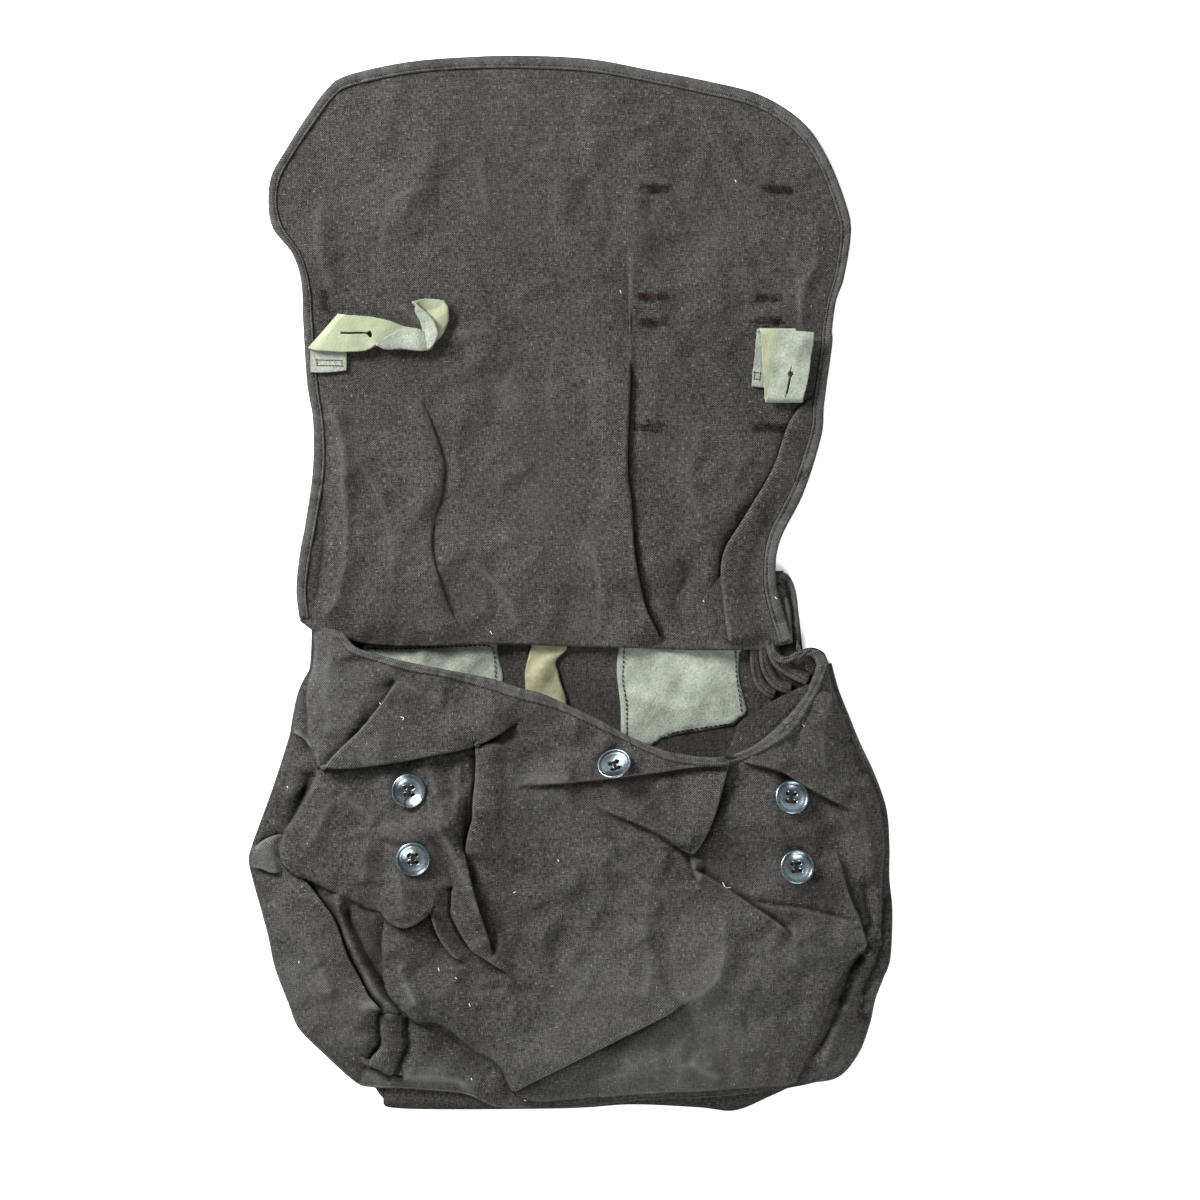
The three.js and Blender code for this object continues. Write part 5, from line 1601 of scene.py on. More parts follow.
            rows.add(turned, under + half * (1 + math.cos(a)), worn, cloth)
        for k in range(1, 6):
            inner = rim - out * (2.6 * MM * k)
            rows.add(inner, 0.75 * MM + 1.6 * MM * self._over_back(inner), 0, rim + out * (4 + k * 2.6) * MM)
        piece = closed_sheet("canvas_gusset", rows.skin().joined(top), 0.9 * MM, self.finishes.bag_canvas, share=0.5)
        repaired(piece)
        return finish_piece(piece, "canvas", "gusset")

    def _over_back(self, xy: np.ndarray) -> np.ndarray:
        """How far places lie over the back panel, from 0 to 1."""
        edge = spots([*BackAndFlap.back_left, *BackAndFlap.back_right[::-1], *BackAndFlap.back_bottom[::-1]])
        away = np.where(inside(edge, xy), 0, off(edge, xy, closed=True))
        return 1 - smooth(away / (8 * MM))


def repaired(piece: bpy.types.Object) -> None:
    """Turns a closed mesh's faces outwards."""
    work = bmesh.new()
    work.from_mesh(piece.data)
    bmesh.ops.recalc_face_normals(work, faces=work.faces)
    work.to_mesh(piece.data)
    work.free()


@dataclass
class Hem:
    """A rolled hem between two matched lines."""

    name: str
    material: bpy.types.Material
    profile: tuple  # share of the width and height in millimetres
    pucker: float = 0.16 * MM
    seed: int = 2

    def lay(self, outer: np.ndarray, inner: np.ndarray, height: np.ndarray, worn: float = 0.3) -> bpy.types.Object:
        """Makes the hem.

        Args:
            outer: the line of its free edge.
            inner: the line of its sewn edge.
            height: the surface below it at each step.
            worn: how faded it is.

        Returns:
            The hem.
        """
        rng = np.random.default_rng(self.seed)
        count = len(outer)
        kinks = np.interp(np.arange(count), np.arange(0, count + 4, 3), rng.normal(0, 1, len(range(0, count + 4, 3))))
        points, worn_all, cloth = [], [], []
        run = np.r_[0, np.cumsum(np.linalg.norm(np.diff(outer, axis=0), axis=1))]
        for k in range(count):
            for share, up in self.profile:
                flat = outer[k] * (1 - share) + inner[k] * share
                swell = kinks[k] * self.pucker if up > 0.3 else 0.0
                points.append((*flat, height[k] + up * MM + swell))
                worn_all.append(worn * (0.4 + 0.6 * max(0.0, up)) + 0.12 * kinks[k] * (up > 0.3))
                cloth.append((run[k], share * 5 * MM))
        ring = len(self.profile)
        faces = grid_faces(count, ring, closed=True).tolist()
        faces += [list(range(ring)), [count * ring - 1 - k for k in range(ring)]]
        piece = mesh_piece(self.name, np.array(points), faces, [self.material], np.array(cloth), np.array(worn_all))
        repaired(piece)
        return piece


@dataclass
class Hems:
    """The hems of the flap and of the mouth, with their seams."""

    finishes: Finishes
    flap_inner: tuple = (
        (309, 618), (306, 590), (310, 556), (315, 526), (324, 469), (323, 425), (317, 383), (312, 322), (309, 285),
        (300, 253), (282, 226), (276, 203), (279, 178), (292, 154), (312, 124), (332, 97), (350, 85), (405, 73),
        (456, 68), (518, 67), (587, 70), (646, 80), (706, 93), (757, 106), (796, 131), (819, 163), (836, 206),
        (841, 232), (836, 272), (829, 297), (823, 330), (822, 345), (814, 401), (811, 432), (793, 486), (769, 536),
        (764, 579), (770, 612), (780, 643),
    )
    corner_free: tuple = ((817, 665), (814, 658), (806, 655.5), (796, 659), (785, 663.5), (776, 661), (770, 655),
                          (767, 647))
    corner_sewn: tuple = ((827, 664), (822.5, 653.5), (811, 649), (798.5, 652), (786, 657), (780, 655.5), (775, 650),
                          (773, 643))

    def flap(self, ground: Ground) -> list[bpy.types.Object]:
        """Makes the flap's hem and its seam.

        Args:
            ground: the flap to lie on.

        Returns:
            The hem and its stitches.
        """
        outer = traced(BackAndFlap.flap_outline, count=560)
        inner = traced(self.flap_inner, count=560)
        away = outer - inner
        away /= np.linalg.norm(away, axis=1)[:, None]
        probe = ground.top(outer * 0.35 + inner * 0.65, 1.2 * MM)
        edge = ground.top(inner, 1.2 * MM)
        height = smoothed(np.maximum(probe, edge), 4)
        profile = ((0.0, -1.1), (0.0, 0.1), (0.06, 0.75), (0.2, 1.05), (0.5, 1.0), (0.68, 0.62), (0.74, 0.5),
                   (0.82, 0.85), (0.9, 0.95), (0.98, 0.6), (1.0, 0.0), (1.0, -0.6))
        hem = Hem("rolled_flap_hem", self.finishes.hem_canvas, profile, seed=4)
        piece = hem.lay(outer + away * 0.5 * MM, inner, height)
        line = outer * 0.29 + inner * 0.71
        seam = np.column_stack([line, height + 0.55 * MM])
        groove = inner - away * 0.25 * MM
        second = np.column_stack([groove, ground.top(groove, 1.2 * MM) + 0.12 * MM])
        first = Stitching("flap_hem_seam", self.finishes.seam, pitch=2.5, length=2.2, width=0.5)
        other = Stitching("flap_hem_groove", self.finishes.seam, pitch=1.5, length=1.7, width=0.45)
        made = [piece, first.sew([seam[4:-4]]), other.sew([smoothed_line(second)[4:-4]])]
        finish_piece(made[0], "hem_canvas", "flap_hem")
        for run in made[1:]:
            finish_piece(run, None)
        return made

    def mouth(self, ground: Ground) -> list[bpy.types.Object]:
        """Makes the mouth's hem and its seam.

        Args:
            ground: the front panel to lie on.

        Returns:
            The hem and its stitches.
        """
        free = np.vstack([traced(Bag.mouth_free, count=330), traced(self.corner_free, count=50)[1:]])
        sewn = np.vstack([traced(Bag.mouth_sewn, count=330), traced(self.corner_sewn, count=50)[1:]])
        sewn = free + (sewn - free) * 1.2
        height = ground.top(free * 0.2 + sewn * 0.8, 0.0)
        known = height > 1 * MM
        height = np.interp(np.arange(len(free)), np.flatnonzero(known), height[known])
        height[331:] = np.linspace(height[330], 9.5 * MM, 50)
        height = smoothed(height, 5)
        profile = ((0.02, -2.2), (-0.04, -0.6), (-0.02, 0.35), (0.08, 0.95), (0.24, 1.15), (0.38, 0.95), (0.46, 0.72),
                   (0.54, 0.78), (0.68, 1.0), (0.8, 0.9), (0.9, 0.45), (1.0, -0.05), (0.98, -0.8))
        piece = Hem("rolled_mouth_hem", self.finishes.hem_canvas, profile, seed=9).lay(free, sewn, height, worn=0.32)
        line = free * 0.1 + sewn * 0.9
        seam = np.column_stack([line, height + 0.5 * MM])
        stitches = Stitching("mouth_hem_seam", self.finishes.seam, pitch=2.4, length=2.0, width=0.5)
        sewing = stitches.sew([seam[3:-3]])
        finish_piece(piece, "hem_canvas", "mouth_hem")
        finish_piece(sewing, None)
        return [piece, sewing]


def smoothed(values: np.ndarray, width: int) -> np.ndarray:
    """Evens a row of heights out.

    Args:
        values: the heights.
        width: how many neighbours count on each side.

    Returns:
        The smoother heights.
    """
    weights = np.hanning(2 * width + 3)[1:-1]
    padded = np.pad(values, width, mode="edge")
    return np.convolve(padded, weights / weights.sum(), mode="valid")


def smoothed_line(line: np.ndarray) -> np.ndarray:
    """Evens the heights of a line of points out."""
    return np.column_stack([line[:, :2], smoothed(line[:, 2], 3)])


@dataclass
class Inside:
    """What shows in the mouth: the patches, the strap end, the turned margin and the folds of the gusset."""

    finishes: Finishes
    patch_left: tuple = ((364, 641), (400, 641), (493, 641), (496.5, 644), (497, 650), (499.5, 690), (440, 690),
                         (364, 672))
    patch_right: tuple = ((619, 640), (617.5, 655), (617, 676), (620.5, 705), (624, 745), (650, 747), (665, 738.5),
                          (700, 732), (733, 726), (741, 719.5), (747, 715), (748, 712.5), (746.6, 705), (739.5, 680),
                          (739, 655), (738, 640))
    facing_places: tuple = ((722, 758), (730, 744), (735, 730), (739, 722), (755, 712.5), (774, 700), (792, 691),
                            (811, 683), (815, 684), (806, 699), (791, 718), (772, 737), (752, 751), (735, 757))

    def _patch(self, name: str, outline: tuple, seams: Sequence[tuple], ground: Ground) -> list[bpy.types.Object]:
        """Makes a suede patch and its stitches.

        Args:
            name: the patch's name.
            outline: its corners on the drawing grid.
            seams: the lines of its stitches.
            ground: what it lies on.

        Returns:
            The patch and its stitches.
        """
        ring = ringed(outline, 1.6 * MM)
        flat, faces = cut_cloth(ring, 1.6 * MM)
        edge = off(ring, flat, closed=True)
        waves = Crumple(21, ((18, 1.5), (8, 0.6)), sharpness=0.45, turn=1.2)
        limit = spots([(0, MOUTH_ROW)])[0][1]
        base = ground.top(np.column_stack([flat[:, 0], np.minimum(flat[:, 1], limit)]), 1.2 * MM)
        height = base + 0.25 * MM + (0.8 * MM + waves.lift(flat)) * np.sqrt(np.clip(edge / (1.2 * MM), 0, 1))
        for places in seams:
            line = traced(places, step=2 * MM)
            height -= 0.45 * MM * np.exp(-((off(line, flat) / (0.8 * MM)) ** 2))
        for places in ((624, 672), (668, 680), (715, 684), (742, 680)), ((640, 700), (680, 708), (720, 700)):
            height += 0.9 * MM * np.exp(-off(traced(places, step=2 * MM), flat) / (3 * MM))
        height = np.maximum(height, base + 0.3 * MM)
        worn = 0.5 * np.exp(-edge / (1.5 * MM))
        patch = closed_sheet(
            "suede_" + name, draped(flat, faces, height, worn), 0.8 * MM, self.finishes.suede
        )
        finish_piece(patch, "suede", name)
        over = Ground(patch)
        runs = []
        for places in seams:
            line = traced(places, step=1.2 * MM)
            runs.append(np.column_stack([line, smoothed(over.top(line, 2.0 * MM), 1) + 0.2 * MM]))
        sewing = Stitching(name + "_seam", self.finishes.seam, pitch=2.3, length=2.1, width=0.65).sew(runs)
        return [patch, finish_piece(sewing, None)]

    def patches(self, ground: Ground) -> None:
        """Makes both patches.

        Args:
            ground: the back panel.
        """
        self._patch(
            "patch_left",
            self.patch_left,
            (((368, 648), (393, 649), (424, 648), (470, 646), (487, 646), (493.5, 652), (495.5, 690)),
             ((375, 643), (375, 655))),
            ground,
        )
        self._patch(
            "patch_right",
            self.patch_right,
            (((625, 643), (624, 655), (623, 681), (626.5, 705), (627, 738)),
             ((735, 643), (736.4, 655), (737, 676), (741.5, 710)),
             ((735, 723.5), (700, 728.5), (668, 734.5), (665, 742))),
            ground,
        )

    def strap_end(self, ground: Ground) -> bpy.types.Object:
        """Makes the pale strap end between the patches.

        Args:
            ground: the back panel.

        Returns:
            The strap end.
        """
        left = traced([(531, 640), (530, 650), (525, 671), (525, 684), (526, 700), (528, 712)], count=44)
        right = traced([(568, 640), (566, 650), (556, 661), (558, 672), (561, 684), (566, 698), (567, 712)], count=44)
        rise = np.interp(np.linspace(0, 1, 45), (0, 0.2, 0.4, 0.6, 0.85, 1), (0.6, 1.5, 3.2, 2.2, 1.0, 0.8)) * MM
        rows, limit = Courses(), spots([(0, MOUTH_ROW)])[0][1]
        share = np.linspace(0, 1, 17)[:, None]
        for k in range(45):
            line = left[k] * (1 - share) + right[k] * share
            arch = np.sin(math.pi * share[:, 0]) * 0.8 + 0.35 * np.sin(share[:, 0] * 7 + k * 0.2)
            base = ground.top(np.column_stack([line[:, 0], np.minimum(line[:, 1], limit)]), 1.2 * MM)
            height = np.maximum(base + 0.9 * MM + rise[k] * (0.4 + 0.6 * arch), 2.1 * MM)
            rows.add(line, height, 0.5 * (np.abs(share[:, 0] - 0.5) * 2) ** 6)
        points, cloth, worn = np.vstack(rows.points), np.vstack(rows.cloth), np.hstack(rows.worn)
        skin = Skin(points, grid_faces(45, 17)[:, ::-1], cloth, worn)
        piece = closed_sheet("strap_end", skin, 0.9 * MM, self.finishes.strap)
        return finish_piece(piece, "pale_leather", "inner_strap")

    def facing(self, ground: Ground) -> list[bpy.types.Object]:
        """Makes the margin of the front that is turned to the outside at the mouth's right corner.

        Args:
            ground: the front panel and the mouth's hem.

        Returns:
            The margin and its stitches.
        """
        ring = ringed(self.facing_places, 1.3 * MM)
        flat, faces = cut_cloth(ring, 1.3 * MM)
        hem = traced(Bag.mouth_free, step=2 * MM)
        s, share, _ = near(hem, flat)
        away = np.abs(s)
        level = ground.top(hem, 10 * MM)
        level = smoothed(level, 6)
        base = np.interp(share * (len(hem) - 1), np.arange(len(hem)), level)
        waves = Crumple(31, ((14, 0.5), (6, 0.2)))
        height = base - 0.9 * MM - 3.0 * MM * smooth(away / (14 * MM)) + waves.lift(flat)
        # The margin is darkened throughout, and painted shade darkens it further away from the hem, where it sinks.
        skin = draped(flat, faces, height, -0.25 - 0.1 * smooth(away / (6 * MM)))
        piece = closed_sheet("turned_margin", skin, CLOTH, self.finishes.inner_canvas)
        finish_piece(piece, "canvas", "mouth_facing")
        over = Ground(piece)
        runs = []
        for shift in (0.0, 1.3):
            line = traced([(770, 729 - shift), (782, 718 - shift), (793, 706 - shift), (800, 695 - shift)], step=MM)
            runs.append(np.column_stack([line, smoothed(over.top(line, 12 * MM), 2) + 0.05 * MM]))
        sewing = Stitching("facing_seam", self.finishes.seam, pitch=2.2, length=1.8, width=0.4).sew(runs)
        return [piece, finish_piece(sewing, None)]

    def layered(self, ground: Ground) -> None:
        """Makes the edges of the layers that lie folded at the flap's lower right.

        Args:
            ground: the back panel.
        """
        lines = {
            "outer": ((779, 572), (789, 575), (796, 590), (799, 612), (801, 645)),
            "inner": ((780, 584), (786, 592), (790, 606), (792, 624), (793, 643)),
        }
        profile = ((0.0, -1.2), (0.0, 0.1), (0.08, 0.7), (0.3, 1.0), (0.6, 0.8), (0.8, 0.35), (1.0, 0.0), (1.0, -0.8))
        for name, places in lines.items():
            line = traced(places, step=1.0 * MM)
            across = -leftwards(line)
            height = smoothed(ground.top(line + across * 1.5 * MM, 2 * MM), 3)
            hem = Hem(f"layered_edge_{name}", self.finishes.hem_canvas, profile, seed=6)
            finish_piece(hem.lay(line, line + across * 3.0 * MM, height, worn=0.2), "hem_canvas")

    def nested(self) -> list[bpy.types.Object]:
        """Makes the hemmed gusset folds that stand inside the mouth's right corner."""
        made = []
        lines = {
            "gusset_fold_low": (((751, 636), (750, 652), (751, 668), (755, 684), (764, 695), (773, 700)), 3.4, 3.0),
            "gusset_fold_middle": (((758, 636), (759, 652), (761, 668), (768, 682), (778, 691), (790, 695)), 4.2, 3.0),
            "gusset_fold_high": (((766, 640), (767, 652), (773, 665), (782, 673), (794, 680), (806, 686)), 5.6, 3.4),
        }
        for name, (places, height, width) in lines.items():
            line = traced(places, step=1.0 * MM)
            across = leftwards(line)
            profile = ((0.0, -2.4), (0.0, 0.0), (0.08, 0.7), (0.3, 1.0), (0.55, 0.75), (0.68, 0.35), (0.9, 0.45),
                       (1.3, 0.0), (1.9, -1.2), (1.9, -2.4))
            hem = Hem("hemmed_" + name, self.finishes.inner_canvas, profile, seed=12)
            piece = hem.lay(line, line + across * width * MM, np.full(len(line), height * MM), worn=0.3)
            nodes = () if name == "gusset_fold_middle" else (name,)
            made.append(finish_piece(piece, "hem_canvas", *nodes))
            seam = np.column_stack([line + across * 0.72 * width * MM, np.full(len(line), (height + 0.6) * MM)])
            sewing = Stitching(name + "_seam", self.finishes.seam, pitch=2.2, length=1.9, width=0.45)
            finish_piece(sewing.sew([seam]), None)
        return made


@dataclass
class Tab:
    """A leather tab: a strip that is folded over itself.

    Its sections are given in widths of the strip, their rises in thicknesses.
    """

    name: str
    corner: tuple
    sections: tuple
    front: bpy.types.Material
    back: bpy.types.Material
    openings: tuple = ()  # along in sections, across as a share, and their half lengths
    width: float = 18 * MM
    thickness: float = 1.25 * MM
    rise: float = 1.5 * MM

    def build(self, ground: Ground) -> bpy.types.Object:
        """Makes the tab.

        Args:
            ground: what it lies on.

        Returns:
            The tab.
        """
        start = spots([self.corner])[0]
        frames = np.array(self.sections, float)
        steps = 16
        lines = [flowing_through(frames[:, k], steps) for k in range(3)]
        count, columns = len(lines[0]), 41
        share = np.linspace(0, 1, columns)
        points = np.empty((count, columns, 3))
        for i in range(count):
            a, b, c = (line[i] for line in lines)
            bent = np.column_stack([
                a[k] * (1 - share) * (1 - 2 * share) + 4 * b[k] * share * (1 - share) + c[k] * share * (2 * share - 1)
                for k in range(3)
            ])
            points[i] = bent
        flat = start + points[..., :2].reshape(-1, 2) * self.width
        base = ground.top(flat, 2 * MM)
        level = np.median(base)
        rng = np.random.default_rng(8)
        fuzz = rng.normal(0, 0.03 * MM, len(flat))
        height = np.maximum(base * 0.5 + level * 0.5, base) + 0.75 * MM + points[..., 2].ravel() * self.rise + fuzz
        ragged = rng.normal(0, 0.12 * MM, (count, 2))
        flat = flat.reshape(count, columns, 2)
        flat[:, 0] += ragged * 0.6
        flat[:, -1] -= ragged[::-1] * 0.6
        across, along = np.meshgrid(share, np.arange(count) / steps)
        faces = grid_faces(count, columns)
        middle_across = across.ravel()[faces].mean(1)
        middle_along = along.ravel()[faces].mean(1)
        keep = np.ones(len(faces), bool)
        for at_along, at_across, half_along, half_across in self.openings:
            away = ((middle_along - at_along) / half_along) ** 2 + ((middle_across - at_across) / half_across) ** 2
            keep &= away > 1
        cloth = np.column_stack([across.ravel() * self.width, along.ravel() * 9 * MM])
        edge = np.minimum(across, 1 - across).ravel()
        skin = Skin(
            np.column_stack([flat.reshape(-1, 2), height]), faces[keep], cloth, 0.35 * np.exp(-edge / 0.03)
        )
        piece = closed_sheet("leather_" + self.name, skin, self.thickness, self.front, self.back, share=0.5)
        return finish_piece(piece, "suede", self.name)


def flowing_through(knots: np.ndarray, steps: int) -> np.ndarray:
    """A smooth line that passes each knot at an even count of steps.

    Args:
        knots: the points to pass.
        steps: the steps between two knots.

    Returns:
        The points of the line.
    """
    ends = np.vstack([2 * knots[0] - knots[1], knots, 2 * knots[-1] - knots[-2]])
    t = np.linspace(0, 1, steps, endpoint=False)[:, None]
    parts = []
    for a, b, c, d in zip(ends, ends[1:], ends[2:], ends[3:]):
        near_slope, far_slope = 0.35 * (c - a), 0.35 * (d - b)
        parts.append(
            (2 * t**3 - 3 * t**2 + 1) * b + (t**3 - 2 * t**2 + t) * near_slope
            + (3 * t**2 - 2 * t**3) * c + (t**3 - t**2) * far_slope
        )
    return np.vstack([*parts, knots[-1:]])


@dataclass
class Tabs:
    """The two leather tabs and their stitches."""

    finishes: Finishes

    def build(self, ground: Ground) -> list[bpy.types.Object]:
        """Makes the tabs.

        Args:
            ground: the flap.

        Returns:
            The tabs.
        """
        left = (
            ((0, 0, 0), (0.5, 0, 0), (1, 0.06, 0)),
            ((0, 0.54, 0.1), (0.5, 0.56, 0.1), (1, 0.51, 0.1)),
            ((-0.02, 0.64, 0.5), (0.44, 1.08, 0.5), (0.9, 1.5, 0.5)),
            ((-0.03, 0.66, 1.3), (0.38, 1.13, 1.3), (0.78, 1.6, 1.3)),
            ((0.17, 0.6, 2.0), (0.56, 1.1, 2.0), (0.92, 1.6, 2.0)),
            ((0.97, 0.56, 2.0), (1.03, 1.08, 2.0), (1.08, 1.58, 2.0)),
            ((1.61, 0.62, 2.2), (1.64, 1.06, 2.0), (1.67, 1.54, 1.8)),
            ((2.1, 0.96, 3.6), (2.06, 0.69, 2.2), (2.22, 1.42, 1.5)),
            ((2.58, 1.21, 3.6), (2.56, 0.67, 2.2), (2.58, 1.28, 0.9)),
            ((3.0, 1.17, 4.0), (3.0, 0.62, 2.4), (3.06, 1.19, 0.9)),
            ((3.3, 1.08, 2.4), (3.28, 0.64, 2.0), (3.2, 1.0, 1.0)),
            ((3.6, 0.98, 1.4), (3.3, 0.7, 1.9), (3.34, 0.66, 3.2)),
            ((3.72, 1.14, 1.4), (3.18, 1.08, 2.6), (3.57, 1.02, 4.2)),
            ((3.84, 1.45, 1.6), (3.1, 1.42, 2.6), (3.44, 1.42, 4.6)),
            ((3.84, 1.78, 2.0), (3.0, 1.72, 2.8), (3.15, 1.72, 4.8)),
            ((3.72, 1.98, 2.4), (3.2, 2.03, 2.8), (2.83, 1.92, 4.4)),
        )
        right = (
            ((0, 0.06, 0), (0.5, 0, 0), (1.03, -0.03, 0)),
            ((0.14, 1.5, 0), (0.65, 1.5, 0), (1.17, 1.5, 0)),
            ((0.16, 1.6, 0.85), (0.67, 1.59, 0.85), (1.2, 1.58, 0.85)),
            ((0.25, 1.5, 1.7), (0.75, 1.5, 1.7), (1.25, 1.5, 1.7)),
            ((0.36, -0.24, 1.7), (0.87, -0.24, 1.7), (1.39, -0.24, 1.7)),
            ((0.39, -0.34, 2.55), (0.9, -0.34, 2.55), (1.42, -0.34, 2.55)),
            ((0.42, -0.24, 3.4), (0.93, -0.24, 3.4), (1.44, -0.24, 3.4)),
            ((0.53, 0.36, 3.5), (1.05, 0.35, 3.5), (1.58, 0.33, 3.5)),
            ((0.69, 1.6, 3.6), (1.2, 1.57, 3.6), (1.72, 1.53, 3.6)),
        )
        suede, grain = self.finishes.suede, self.finishes.grain
        slit = (5.4, 0.5, 0.95, 0.022)
        made = [
            Tab("tab_left", (310, 371.8), left, suede, grain, (slit, (6.05, 0.5, 0.16, 0.1))).build(ground),
            Tab("tab_right", (751.9, 387.8), right, suede, grain,
                ((6.55, 0.52, 0.75, 0.02), (7.05, 0.52, 0.1, 0.075))).build(ground),
        ]
        boxes = (
            ((316.5, 359.5), (341.5, 360), (341.5, 365.5), (316.5, 365), (316.5, 359.5)),
            ((755, 372), (760.6, 372.5), (760, 379), (754.5, 378.5), (755, 372)),
        )
        over = Ground(*made)
        runs = []
        for places in boxes:
            dense = boxed(places, 12)
            runs.append(np.column_stack([dense, np.full(len(dense), np.median(over.top(dense, 3 * MM))) + 0.08 * MM]))
        sewing = Stitching("tab_seams", self.finishes.seam, pitch=1.5, length=1.7, width=0.5).sew(runs)
        finish_piece(sewing, None)
        return made


@dataclass
class Button:
    """A dished button of pressed metal with four holes, sewn on with dark thread."""

    name: str
    place: tuple
    finishes: Finishes
    lean: tuple = (0.0, 0.0)
    spin: float = 0.0
    loose_end: bool = False
    radius: float = 8.5 * MM
    hole: float = 1.0 * MM
    spacing: float = 1.9 * MM
    top_profile: tuple = ((0, 0.7), (1.5, 0.74), (3.0, 0.9), (4.5, 1.3), (5.8, 1.85), (6.6, 2.3), (6.95, 2.1),
                          (7.35, 2.85), (7.9, 3.05), (8.3, 2.85), (8.5, 2.45))
    low_profile: tuple = ((0, 0.05), (3.4, 0.15), (5.0, 0.6), (6.6, 1.4), (7.6, 2.0), (8.2, 2.25), (8.5, 2.45))

    def build(self, ground: Ground) -> bpy.types.Object:
        """Makes the button and its thread.

        Args:
            ground: the cloth that it lies on.

        Returns:
            The button.
        """
        middle = spots([self.place])[0]
        grid = np.linspace(-1, 1, 13)
        disc = np.array([(x, y) for x in grid for y in grid if math.hypot(x, y) <= 1]) * self.radius * 0.9
        tops = ground.top(middle + disc, 15 * MM)
        fit = np.linalg.lstsq(np.column_stack([disc, np.ones(len(disc))]), tops, rcond=None)[0]
        slope = Vector((fit[0] * 0.8 - self.lean[0], fit[1] * 0.8 - self.lean[1]))
        turn = Vector((0, 0, 1)).rotation_difference(Vector((-slope.x, -slope.y, 1)).normalized()).to_matrix().to_4x4()
        spin = Matrix.Rotation(self.spin, 4, "Z")
        lift = float(np.max(tops - disc @ np.array(slope))) - 0.9 * MM
        move = Matrix.Translation((*middle, lift)) @ turn @ spin
        angles = np.linspace(0, 2 * math.pi, 96, endpoint=False)
        ring = np.column_stack([np.cos(angles), np.sin(angles)]) * self.radius
        rings = [ring * r for r in (0.985, 0.96, 0.93, 0.89, 0.83, 0.76, 0.68, 0.6, 0.52, 0.45, 0.4)]
        small = np.column_stack([np.cos(angles[::6]), np.sin(angles[::6])]) * self.hole
        holes = [small + (dx * self.spacing, dy * self.spacing) for dx, dy in ((-1, -1), (1, -1), (1, 1), (-1, 1))]
        fill = np.vstack([*rings, *[r[::3] * 0.9 for r in (ring * 0.33, ring * 0.14)]])
        away = np.min([np.linalg.norm(fill - h.mean(0), axis=1) for h in holes], axis=0)
        fill = fill[away > self.hole + 0.3 * MM]
        every = np.vstack([ring, *holes, fill])
        made = delaunay_2d_cdt([Vector(p) for p in every], [], [list(range(96))], 1, 1e-7, False)
        flat, faces = np.array([tuple(v) for v in made[0]]), np.array(made[2])
        centre = flat[faces].mean(1)
        keep = np.all([np.linalg.norm(centre - h.mean(0), axis=1) > self.hole * 0.93 for h in holes], axis=0)
        faces, flat = trimmed(faces[keep], flat)
        reach = np.linalg.norm(flat, axis=1)
        high = np.interp(reach / MM, *zip(*self.top_profile)) * MM
        low = np.interp(reach / MM, *zip(*self.low_profile)) * MM - 0.02 * MM
        count = len(flat)
        sides = walls(faces, count)
        points = np.vstack([np.column_stack([flat, high]), np.column_stack([flat, low])])
        every_face = [*faces.tolist(), *(faces[:, ::-1] + count).tolist(), *sides.tolist()]
        ring = np.exp(-(((reach / MM - 7.2) / 0.6) ** 2)) + 0.5 * np.exp(-((reach / MM / 3.0) ** 2))
        piece = mesh_piece("metal_" + self.name, points, every_face, [self.finishes.aluminium], worn=np.r_[ring, ring])
        piece.data.transform(move)
        repaired(piece)
        finish_piece(piece, "dull_metal", self.name)
        self._thread(move)
        return piece

    def _thread(self, move: Matrix) -> None:
        """Lays the thread through the holes.

        Args:
            move: where the button lies.
        """
        s, strands = self.spacing, []
        crossings = ((-s, s), (s, s)), ((-s, -s), (s, -s)), ((0.1 * s, 0.9 * s), (-0.1 * s, -0.9 * s))
        for k, ((ax, ay), (bx, by)) in enumerate(crossings):
            for shift in (-0.28, 0.28):
                t = np.linspace(0, 1, 9)
                x = ax + (bx - ax) * t + (shift * MM if k == 2 else 0)
                y = ay + (by - ay) * t + (shift * MM if k < 2 else 0)
                z = 0.2 * MM + np.sin(math.pi * t) ** 0.5 * (1.0 * MM + 0.1 * MM * k)
                strands.append(np.column_stack([x, y, z]))
        if self.loose_end:
            strands.append(
                flowing(np.array([(0.0, -1.2, 1.4), (-0.6, -2.6, 1.9), (-1.7, -4.2, 2.1), (-1.9, -6.4, 2.9),
                                  (-1.5, -7.9, 3.3), (-1.3, -8.9, 2.6)]) * MM, count=30)
            )
        parts = [tube(f"{self.name}_strand", s, 0.32 * MM, self.finishes.brown) for s in strands]
        piece = joined(self.name + "_thread", parts)
        piece.data.transform(move)
        finish_piece(piece, None)


def joined(name: str, parts: Sequence[bpy.types.Object]) -> bpy.types.Object:
    """Joins closed meshes into one piece.

    Args:
        name: the new piece's name.
        parts: the pieces to join, which are removed.

    Returns:
        The new piece.
    """
    work = bmesh.new()
    materials = [m for m in parts[0].data.materials]
    for part in parts:
        work.from_mesh(part.data)
        bpy.data.objects.remove(part)
    mesh = bpy.data.meshes.new(name)
    work.to_mesh(mesh)
    work.free()
    for material in materials:
        mesh.materials.append(material)
    piece = bpy.data.objects.new(name, mesh)
    bpy.context.scene.collection.objects.link(piece)
    return piece


